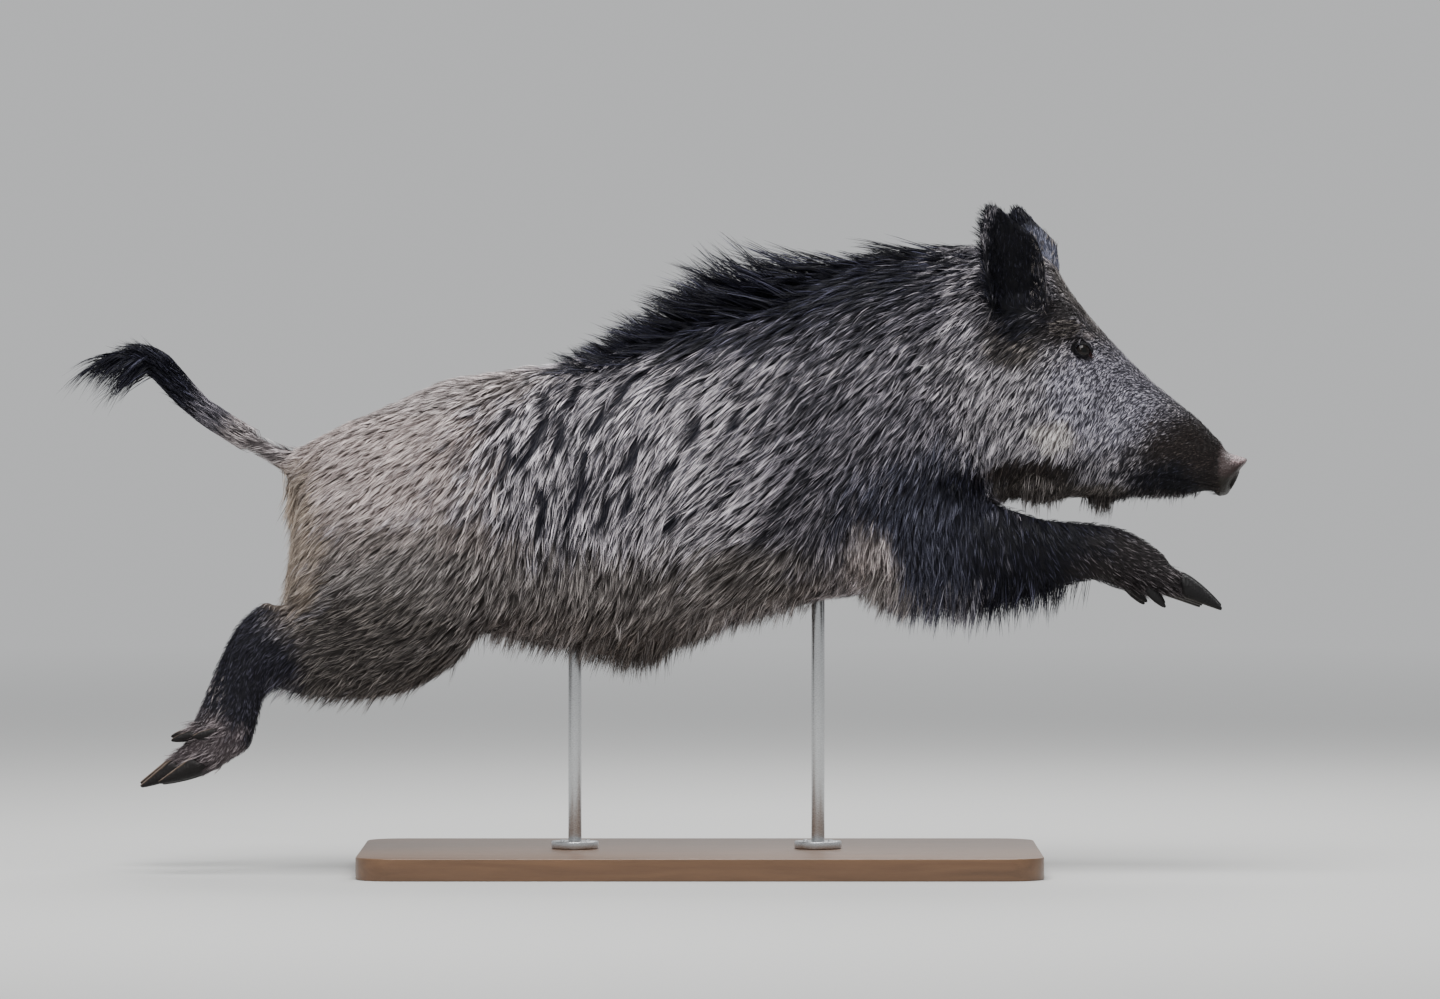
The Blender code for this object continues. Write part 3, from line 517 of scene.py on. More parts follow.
# The markings, which skin and coat share. A tone is a hair's colour at its root and at its tip, the tip of a
# pale hair, and the share of pale hairs. A mark is a place with the head straight, its reach each way, and
# its tone. Later marks lie over earlier ones.

tones = {
    "grizzle": ((0.006, 0.006, 0.010), (0.086, 0.081, 0.098), (0.70, 0.65, 0.69), 0.52),
    "tan": ((0.076, 0.058, 0.053), (0.40, 0.325, 0.31), (0.82, 0.715, 0.685), 0.63),
    "frost": ((0.07, 0.058, 0.055), (0.295, 0.255, 0.248), (0.79, 0.705, 0.69), 0.60),
    "fawn": ((0.032, 0.025, 0.023), (0.19, 0.158, 0.148), (0.52, 0.455, 0.43), 0.50),
    "mist": ((0.010, 0.010, 0.014), (0.125, 0.118, 0.134), (0.78, 0.73, 0.77), 0.54),
    "haze": ((0.014, 0.014, 0.020), (0.150, 0.144, 0.180), (0.74, 0.71, 0.81), 0.55),
    "cream": ((0.08, 0.070, 0.068), (0.38, 0.345, 0.335), (0.95, 0.90, 0.88), 0.62),
    "dun": ((0.023, 0.019, 0.018), (0.135, 0.119, 0.114), (0.43, 0.39, 0.375), 0.43),
    "gold": ((0.058, 0.044, 0.034), (0.28, 0.222, 0.178), (0.66, 0.555, 0.465), 0.53),
    "slate": ((0.007, 0.007, 0.011), (0.052, 0.050, 0.062), (0.36, 0.33, 0.37), 0.36),
    "black": ((0.002, 0.002, 0.004), (0.006, 0.006, 0.012), (0.075, 0.075, 0.12), 0.10),
    "navy": ((0.006, 0.006, 0.010), (0.036, 0.037, 0.056), (0.15, 0.152, 0.205), 0.26),
    "ink": ((0.003, 0.003, 0.005), (0.020, 0.019, 0.030), (0.115, 0.110, 0.155), 0.20),
    "jet": ((0.0015, 0.0015, 0.003), (0.005, 0.005, 0.010), (0.06, 0.06, 0.09), 0.10),
    "ash": ((0.06, 0.052, 0.054), (0.25, 0.22, 0.225), (0.72, 0.65, 0.65), 0.55),
    "sooty": ((0.008, 0.007, 0.007), (0.030, 0.025, 0.027), (0.26, 0.23, 0.24), 0.14),
    "umber": ((0.013, 0.011, 0.010), (0.070, 0.061, 0.058), (0.32, 0.282, 0.258), 0.29),
    "taupe": ((0.030, 0.022, 0.024), (0.13, 0.105, 0.112), (0.46, 0.40, 0.41), 0.34),
    "steelBlue": ((0.016, 0.017, 0.026), (0.095, 0.10, 0.145), (0.34, 0.35, 0.45), 0.40),
    "earth": ((0.006, 0.004, 0.004), (0.026, 0.020, 0.019), (0.12, 0.098, 0.088), 0.13),
}

marks = {
    "rump": ((-0.46, 0.00, 0.55), (0.185, 0.20, 0.170), "tan"),
    "neck": ((0.37, 0.11, 0.66), (0.15, 0.20, 0.13), "mist"),
    "croup": ((-0.36, 0.00, 0.655), (0.16, 0.12, 0.045), "frost"),
    "haunchMid": ((-0.41, 0.12, 0.425), (0.17, 0.20, 0.048), "fawn"),
    "haunch": ((-0.38, 0.12, 0.378), (0.17, 0.20, 0.062), "dun"),
    "thighLow": ((-0.38, 0.12, 0.30), (0.19, 0.20, 0.075), "umber"),
    "shank": ((-0.50, 0.09, 0.29), (0.10, 0.20, 0.07), "umber"),
    "buttock": ((-0.575, 0.05, 0.44), (0.065, 0.16, 0.12), "gold"),
    "belly": ((-0.09, 0.00, 0.27), (0.28, 0.20, 0.09), "dun"),
    # painted shade: flankLow darkens the lower flank and the belly's side to dun, standing for the shade under
    # the body
    "flankLow": ((-0.12, 0.10, 0.340), (0.22, 0.20, 0.085), "dun"),
    "ribsLow": ((0.09, 0.12, 0.395), (0.12, 0.20, 0.045), "dun"),
    "bellyDark": ((-0.10, 0.00, 0.265), (0.22, 0.16, 0.075), "umber"),
    "shoulder": ((0.21, 0.15, 0.55), (0.15, 0.20, 0.16), "slate"),
    "shoulderTop": ((0.10, 0.10, 0.755), (0.27, 0.20, 0.085), "slate"),
    "maneRear": ((-0.04, 0.00, 0.765), (0.13, 0.17, 0.090), "black"),
    "mane": ((0.09, 0.00, 0.865), (0.25, 0.20, 0.168), "black"),
    "upperArm": ((0.32, 0.12, 0.46), (0.13, 0.16, 0.10), "navy"),
    "armFold": ((0.345, 0.12, 0.525), (0.045, 0.12, 0.022), "black"),
    "forearm": ((0.50, 0.10, 0.42), (0.14, 0.16, 0.11), "black"),
    "foreFoot": ((0.64, 0.10, 0.39), (0.11, 0.12, 0.09), "sooty"),
    "armpit": ((0.226, 0.14, 0.408), (0.038, 0.10, 0.050), "frost"),
    "hindCannon": ((-0.62, 0.10, 0.25), (0.075, 0.12, 0.14), "ink"),
    "hindToes": ((-0.678, 0.10, 0.140), (0.070, 0.12, 0.070), "taupe"),
    "face": ((0.555, 0.06, 0.640), (0.085, 0.12, 0.070), "haze"),
    "forehead": ((0.515, 0.00, 0.79), (0.05, 0.05, 0.08), "dun"),
    "brow": ((0.485, 0.06, 0.742), (0.043, 0.06, 0.036), "sooty"),
    "earRoot": ((0.425, 0.09, 0.715), (0.045, 0.07, 0.040), "umber"),
    "ear": ((0.43, 0.10, 0.81), (0.055, 0.07, 0.105), "jet"),
    "earBack": ((0.450, 0.068, 0.860), (0.05, 0.026, 0.085), "steelBlue"),
    "lidBand": ((0.536, 0.060, 0.727), (0.016, 0.02, 0.007), "ash"),
    "cheek": ((0.487, 0.11, 0.585), (0.028, 0.08, 0.022), "cream"),
    "cheekLow": ((0.445, 0.09, 0.535), (0.07, 0.10, 0.018), "earth"),
    "jaw": ((0.48, 0.00, 0.510), (0.15, 0.10, 0.020), "umber"),
    "muzzle": ((0.664, 0.00, 0.548), (0.080, 0.12, 0.075), "earth"),
    "lip": ((0.630, 0.00, 0.524), (0.055, 0.10, 0.036), "jet"),
    "tailRoot": ((-0.64, 0.00, 0.60), (0.08, 0.05, 0.06), "slate"),
    "tailUnder": ((-0.600, 0.00, 0.575), (0.045, 0.05, 0.030), "ash"),
    "tail": ((-0.76, 0.00, 0.68), (0.10, 0.05, 0.09), "black"),
}


def tonesAt(points, normals, wobble=0.0):
    # root, tip and pale tip colours and the share of pale hairs; wobble blurs the edges of the marks
    at = leftHalf(points)
    inward = -normals[:, 1] * np.sign(straight(points)[:, 1])
    uneven = noiseAt(points, 38) * 0.28 + wobble
    values = {name: np.concatenate([*tone[:3], tone[3:]]) for name, tone in tones.items()}
    made = np.tile(values["grizzle"], (len(at), 1))
    for name, (place, reach, tone) in marks.items():
        share = 1 - ramp(np.linalg.norm((at - place) / reach, axis=1) + uneven, 0.70, 1.30)
        if name == "earBack":
            share *= ramp(inward, 0.05, 0.40)
        made += share[:, None] * (values[tone] - made)
    return made[:, 0:3], made[:, 3:6], made[:, 6:9], made[:, 9]


# The partings: clefts down the flank where the coat opens over the skin's folds, and the hairs in them are
# painted near black as shade. Each has the x and z of its middle, its length, and how far it leans forward at
# the top.

partings = {
    "a": ((-0.219, 0.592), 0.118, 0.33),
    "b": ((-0.190, 0.588), 0.085, 0.12),
    "c": ((-0.161, 0.515), 0.118, 0.24),
    "d": ((-0.095, 0.556), 0.060, 0.55),
    "e": ((-0.096, 0.503), 0.045, 0.20),
    "f": ((-0.006, 0.596), 0.048, 0.32),
    "g": ((-0.212, 0.484), 0.068, 0.00),
    "h": ((-0.137, 0.608), 0.055, 0.62),
    "i": ((-0.041, 0.470), 0.038, 0.90),
    "j": ((-0.128, 0.484), 0.036, 0.15),
    "k": ((-0.038, 0.547), 0.030, 1.10),
    "l": ((-0.106, 0.646), 0.045, 0.50),
    "m": ((-0.040, 0.655), 0.034, 0.60),
    "n": ((-0.258, 0.560), 0.060, 0.20),
    "o": ((0.045, 0.610), 0.034, 0.60),
    "p": ((-0.172, 0.640), 0.040, 0.60),
}
partingWidth = 8 * mm


def partingsAt(points):
    # 1 in the middle of a cleft and 0 away from all of them
    at = leftHalf(points)
    ragged = noiseAt(at, 70) * 3 * mm
    made = np.zeros(len(at))
    for (x, z), length, lean in partings.values():
        way = np.array([lean, 1]) / math.hypot(lean, 1)
        rel = at[:, [0, 2]] - (x, z)
        along = rel @ way
        across = rel @ np.array([way[1], -way[0]]) + 0.5 * along**2 / length + ragged
        taper = 1 - np.clip(np.abs(along) / (length / 2), 0, 1) ** 2
        width = partingWidth * (0.25 + 0.75 * taper)
        made = np.maximum(made, (1 - ramp(np.abs(across) / width, 0.4, 1)) * (taper > 0))
    return made * ramp(at[:, 1], 0.05, 0.08)


# Growing the coat. A lock's middle line walks over the skin along the coat's lie. Its blades follow it and
# gather towards its tip.

patchSize = 0.003  # each blade's patch on the unwrap
lockRise = (0.0, 0.62, 0.92, 1.0)  # share of its height that a lock has reached at each step from its root
# painted shade: the near-black colour taken by the hairs in the partings
cleftShade = (0.004, 0.004, 0.010)


def meshOf(thing):
    # the skin's triangles as arrays
    mesh = thing.data
    mesh.calc_loop_triangles()
    count = len(mesh.loop_triangles)
    corners, areas = np.empty(count * 3, np.int32), np.empty(count, np.float32)
    mesh.loop_triangles.foreach_get("vertices", corners)
    mesh.loop_triangles.foreach_get("area", areas)
    corners = corners.reshape(-1, 3)
    points = readPoints(mesh)
    return SimpleNamespace(
        points=points, normals=readPoints(mesh, "normal"), corners=corners, areas=areas.astype(float),
        middles=points[corners].mean(1), tree=BVHTree.FromPolygons(points.tolist(), corners.tolist()),
    )


def scatter(weight, count):
    # places and normals on the skin, as dense as weight says
    share = ground.areas * weight
    face = chance.choice(len(share), count, p=share / share.sum())
    u, v = chance.random((2, count))
    flip = u + v > 1
    u, v = np.where(flip, 1 - u, u), np.where(flip, 1 - v, v)
    shares = np.stack([1 - u - v, u, v], 1)[:, :, None]
    corners = ground.corners[face]
    return (ground.points[corners] * shares).sum(1), unit((ground.normals[corners] * shares).sum(1))


def onSkin(points):
    # the nearest place on the skin to each point, and its normal
    found = [ground.tree.find_nearest(p)[:2] for p in points.tolist()]
    return np.array([f[0] for f in found]), np.array([f[1] for f in found])


def laid(way, up):
    # a way brought onto the skin: squarely where the skin faces up or down, sideways where it faces aside
    flat = way - (way * up).sum(1, keepdims=True) * up
    aside = np.where(np.abs(up[:, 1]) < 0.3, 0.3 * np.where(up[:, 1] < 0, -1, 1), up[:, 1])
    leaned = way.copy()
    leaned[:, 1] = np.clip(-(way[:, 0] * up[:, 0] + way[:, 2] * up[:, 2]) / aside, -1.3, 1.3)
    share = ramp(np.abs(up[:, 1]), 0.20, 0.45)[:, None]
    made = unit(flat) * (1 - share) + unit(leaned) * share
    return unit(made - (made * up).sum(1, keepdims=True) * up)


def walkLocks(start, normals, plan):
    # the middle lines of the locks, and their lengths
    place, up, steps = start, normals, len(lockRise) - 1
    way, length, depth = lieOfCoat(place)
    length = length * plan["length"] * chance.uniform(0.85, 1.15, len(start))
    lift = chance.uniform(*plan["lift"], len(start))
    fan = chance.normal(0, plan["fan"], len(start))
    lines = [place - up * 0.5 * mm]
    for step in range(1, steps + 1):
        way = laid(lieOfCoat(place)[0], up)
        way = unit(way + np.cross(up, way) * fan[:, None])
        stride = length / steps * (0.85 if step == 1 else 1.0)
        place, up = onSkin(place + way * stride[:, None])
        height = depth * lift * lockRise[step] * (1 - 0.75 * partingsAt(place))
        lines.append(place + up * height[:, None])
    return np.stack(lines, 1), length


def blades(name, lines, across, half, colours, uv):
    # a mesh of flat tapering blades: lines holds each blade's points from root to tip
    count, points = lines.shape[:2]
    taper = np.interp(np.linspace(0, 1, points)[:-1], (0, 0.35, 1), (0.85, 1.0, 0.35))
    side = across[:, None, :] * (half[:, None] * taper)[:, :, None]
    body = lines[:, :-1]
    edges = np.stack([body - side, body + side], 2).reshape(count, -1, 3)
    verts = np.concatenate([edges, lines[:, -1:]], 1).reshape(-1, 3)
    perBlade = 2 * (points - 1) + 1
    quads = [[2 * k, 2 * k + 1, 2 * k + 3, 2 * k + 2] for k in range(points - 2)]
    corners = np.array(sum(quads, []) + [perBlade - 3, perBlade - 2, perBlade - 1])
    loops = (np.arange(count)[:, None] * perBlade + corners).ravel()
    sizes = np.tile([4] * (points - 2) + [3], count)
    mesh = bpy.data.meshes.new(name)
    mesh.vertices.add(len(verts))
    mesh.vertices.foreach_set("co", verts.astype(np.float32).ravel())
    mesh.loops.add(len(loops))
    mesh.loops.foreach_set("vertex_index", loops.astype(np.int32))
    mesh.polygons.add(len(sizes))
    mesh.polygons.foreach_set("loop_start", np.concatenate([[0], np.cumsum(sizes)[:-1]]).astype(np.int32))
    mesh.polygons.foreach_set("loop_total", sizes.astype(np.int32))
    along = np.repeat(np.linspace(0, 1, points), 2)[:-1]
    beside = np.append(np.tile([-0.5, 0.5], points - 1), 0.0)
    spread = np.stack([beside, along - 0.5], 1) * patchSize
    places = (uv[:, None, :] + spread).reshape(-1, 2)
    layer = mesh.uv_layers.new(name="OFBake")
    layer.uv.foreach_set("vector", places[loops].astype(np.float32).ravel())
    writeTint(mesh, np.repeat(colours, 2, axis=1)[:, :-1].reshape(-1, 3))
    mesh.update(calc_edges=True)
    made = bpy.data.objects.new(name, mesh)
    bpy.context.scene.collection.objects.link(made)
    only(made)
    bpy.ops.object.shade_smooth()
    made.data.materials.append(coatMaterial)
    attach(made, "root")
    print(name, count, "blades,", count * (2 * points - 3), "triangles")


def unwrapRound(points, axes):
    # each root's place on an unwrap round its nearest axis, one tile for each axis
    best = np.full(len(points), np.inf)
    made = np.zeros((len(points), 2))
    tile = np.zeros(len(points), int)
    for number, axis in enumerate(axes):
        axis = np.array(axis, float)
        start = 0.0
        for low, high in zip(axis, axis[1:]):
            along = high - low
            size = np.linalg.norm(along)
            t = np.clip((points - low) @ along / size**2, 0, 1)
            rel = points - low - t[:, None] * along
            apart = np.linalg.norm(rel, axis=1)
            side = unit(np.cross(along, (0, 0, 1) if abs(along[2]) < 0.8 * size else (0, 1, 0)))
            over = unit(np.cross(side, along))
            angle = np.arctan2(rel @ side, rel @ over) / (2 * math.pi)
            nearer = apart < best
            made[nearer] = np.stack([angle, start + t * size], 1)[nearer]
            tile[nearer] = number
            best = np.minimum(best, apart)
            start += size
    for number in range(len(axes)):
        mine = tile == number
        if mine.any():
            low, high = made[mine].min(0), made[mine].max(0)
            made[mine] = (made[mine] - low) / np.maximum(high - low, 1e-6) * 0.98 + 0.01
    columns = math.ceil(math.sqrt(len(axes)))
    rows = math.ceil(len(axes) / columns)
    return (made + np.stack([tile % columns, tile // columns], 1)) / (columns, rows)


def nearestLocks(roots, normals, seeds, height):
    # the lock that each root belongs to, found a little above the skin so that thin parts don't mix
    tree = kdtree.KDTree(len(seeds))
    for i, p in enumerate((roots[seeds] + normals[seeds] * height).tolist()):
        tree.insert(p, i)
    tree.balance()
    return np.array([tree.find(p)[1] for p in (roots + normals * height).tolist()])


def dressBlades(name, plan, lines, roots, facing, length, lockPlace, lockUp, mine):
    # turns each blade about its own course, and gives it its width and colours
    course = unit(lines[:, -1] - lines[:, 0])
    across = unit(np.cross(course, facing))
    roll = np.radians(chance.normal(0, plan["roll"], len(roots)))[:, None]
    across = across * np.cos(roll) + np.cross(course, across) * np.sin(roll)
    half = (plan["thin"] * mm + plan["width"] * length) * chance.uniform(0.6, 1.3, len(roots))
    colours = colourBlades(lines, lockPlace, lockUp, mine, plan)
    blades(name, lines, across, half, colours, unwrapRound(roots, plan["axes"]))


def growCoat(name, plan, zone):
    # the coat over the part of the skin where zone, a function of places on the left half, is not 0
    length = lieOfCoat(ground.middles)[1]
    weight = zone(leftHalf(ground.middles)) * ground.cover / length ** plan["shortBias"]
    roots, normals = scatter(weight, plan["blades"])
    seeds = chance.choice(len(roots), len(roots) // plan["perLock"], replace=False)
    spines, lengths = walkLocks(roots[seeds], normals[seeds], plan)
    mine = nearestLocks(roots, normals, seeds, 20 * mm)
    points = plan["points"]
    size = chance.uniform(*plan["sizes"], len(roots))
    steps = spines.shape[1] - 1
    lines = [roots - normals * 0.4 * mm]
    offset = roots - roots[seeds][mine]
    stray = chance.normal(0, 1, (len(roots), 3)) * (lengths[mine] * plan["stray"])[:, None]
    for share in np.linspace(0, 1, points)[1:]:
        at = share * size * steps
        low = np.minimum(at.astype(int), steps - 1)
        part = (at - low)[:, None]
        spine = spines[mine, low] * (1 - part) + spines[mine, low + 1] * part
        lines.append(spine + offset * (1 - plan["gather"] * share**1.3) + stray * share**1.5)
    lines = np.stack(lines, 1)
    dressBlades(name, plan, lines, roots, normals, lengths[mine], spines[:, 2], normals[seeds], mine)


def colourBlades(lines, lockPlace, lockUp, mine, plan):
    # from the markings where each lock shows, with locks and single hairs paler or darker, and painted shade
    # in the partings
    count, points = lines.shape[:2]
    wobble = chance.normal(0, 0.10, len(lockPlace))[mine] + chance.normal(0, 0.06, count)
    low, high, pale, share = tonesAt(lockPlace[mine], lockUp[mine], wobble)
    if plan.get("tone"):
        low, high, pale = (np.tile(tone, (count, 1)) for tone in tones[plan["tone"]][:3])
        share = tones[plan["tone"]][3]
    way = lieOfCoat(lockPlace)[0]
    combed = lockPlace - (lockPlace * way).sum(1, keepdims=True) * way * 0.75
    scale = plan["streakScale"]
    places = [Vector(p) * scale for p in combed.tolist()]
    streak = np.array([noise.noise(p) + noise.noise(p * 2.3) for p in places])
    bright = np.clip(1 + plan["streak"] * streak + chance.normal(0, 0.10, len(lockPlace)), 0.2, 1.9)[mine]
    isPale = chance.random(count) < share * np.clip(bright, 0, 1.6)
    tip = np.where(isPale[:, None], pale, high) * chance.uniform(0.5, 1.4, (count, 1)) * bright[:, None]
    # how deep each lock lies in a parting's painted shade
    lockCleftShade = partingsAt(lockPlace)[mine]
    made = []
    for step, share in enumerate(np.linspace(0, 1, points)):
        rise = ramp(share, plan["dark"] - 0.25, plan["dark"] + 0.35)
        # painted shade where the hair lies in a parting
        dark = np.maximum(partingsAt(lines[:, step]), lockCleftShade)[:, None]
        made.append((low + (tip - low) * rise) * (1 - 0.95 * dark) + dark * cleftShade)
    return np.stack(made, 1)


# Long hair that stands away from the skin: a tuft's hairs grow from one place with a way and a length of
# their own.

# x and z of the crest's line, and how steeply the bristles rise that grow at rootX
maneCrest = {
    "x": (-0.30, -0.19, -0.13, -0.074, -0.016, 0.036, 0.109, 0.204, 0.30, 0.38, 0.425, 0.50),
    "z": (0.672, 0.692, 0.733, 0.779, 0.826, 0.858, 0.838, 0.848, 0.859, 0.865, 0.852, 0.84),
    "rootX": (-0.30, -0.15, -0.05, 0.05, 0.12, 0.16, 0.22, 0.50),
    "lift": (0.15, 0.36, 0.55, 0.62, 0.55, 0.30, 0.12, 0.08),
}


def belowCrest(at):
    # how far each place lies below the top of the skin's back
    return np.interp(at[:, 0], ground.crestAt, ground.crest) - at[:, 2]


def maneLie(at, plan):
    # the crest's bristles rise backward; lower ones sweep back and down
    down = ramp(belowCrest(at), 0.008, 0.050)[:, None]
    lift = np.interp(at[:, 0], maneCrest["rootX"], maneCrest["lift"])
    top = unit(np.stack([-np.ones(len(at)), 0 * lift, lift], 1))
    way = unit(top * (1 - down) + np.array((-0.90, 0.05, -0.42)) * down)
    sway, rise = chance.normal(0, 0.09, len(at)), chance.normal(0.04, 0.15, len(at))
    ruffle = np.stack([np.zeros(len(at)), sway, rise], 1)
    calm = 1 - 0.80 * ramp(at[:, 0], 0.09, 0.21)
    way = unit(way + ruffle * (1 - 0.6 * down) * calm[:, None])
    reach = np.full(len(at), 0.08)
    for _ in range(4):  # each hair's reach, so that its tip ends on the crest's line
        tip = np.interp(at[:, 0] + way[:, 0] * reach, maneCrest["x"], maneCrest["z"]) + 0.004
        reach = 0.5 * reach + 0.5 * np.clip((tip - at[:, 2]) / np.maximum(way[:, 2] - 0.08, 0.2), 0.035, 0.12)
    reach = np.where(way[:, 2] > 0.15, reach, 0.062)
    return way, reach * (0.86 + calm * chance.uniform(-0.24, 0.24, len(at)))


def oneWay(at, plan):
    low, high = plan["long"]
    return np.tile(unit(np.array(plan["way"], float)), (len(at), 1)), chance.uniform(low, high, len(at)) * mm


def downCoat(at, plan):
    # along the coat's own lie
    low, high = plan["long"]
    return lieOfCoat(at)[0], chance.uniform(low, high, len(at)) * mm


def around(*spots):
    # a zone made of soft ellipsoids
    def zone(at):
        made = np.zeros(len(at))
        for place, reach in spots:
            made = np.maximum(made, 1 - ramp(np.linalg.norm((at - place) / np.array(reach), axis=1), 0.7, 1))
        return made
    return zone


def overMane(at):
    inside = ramp(at[:, 0], -0.19, -0.13) * (1 - ramp(at[:, 0], 0.34, 0.40)) * (at[:, 1] < 0.09)
    return inside * (1 - ramp(belowCrest(at), 0.030, 0.075))


def lidEdge(at):
    measure, _, above, _ = lidMeasure(turned(at, turnAt(at), headPivot), "left")
    return ((measure > 1.02) & (measure < 1.3) & (above > 0.001)).astype(float)


# long is the hairs' shortest and longest in millimetres, clear their least height over the skin, and facing
# how squarely the skin must face their way
tuftPlan = {
    "lie": oneWay, "perLock": 7, "points": 4, "gather": 0.72, "stray": 0.05, "roll": 60, "width": 0.0036,
    "thin": 0.24, "droop": 0.10, "fan": 0.12, "dark": 0.25, "streak": 0.35, "streakScale": 60, "tone": None,
    "clear": 1.5,
    "facing": None, "slot": "coat_grey", "axes": [[(-0.60, 0, 0.50), (0.0, 0, 0.50), (0.50, 0, 0.62)]],
    "sizes": (0.7, 1.1), "onLids": False,
}

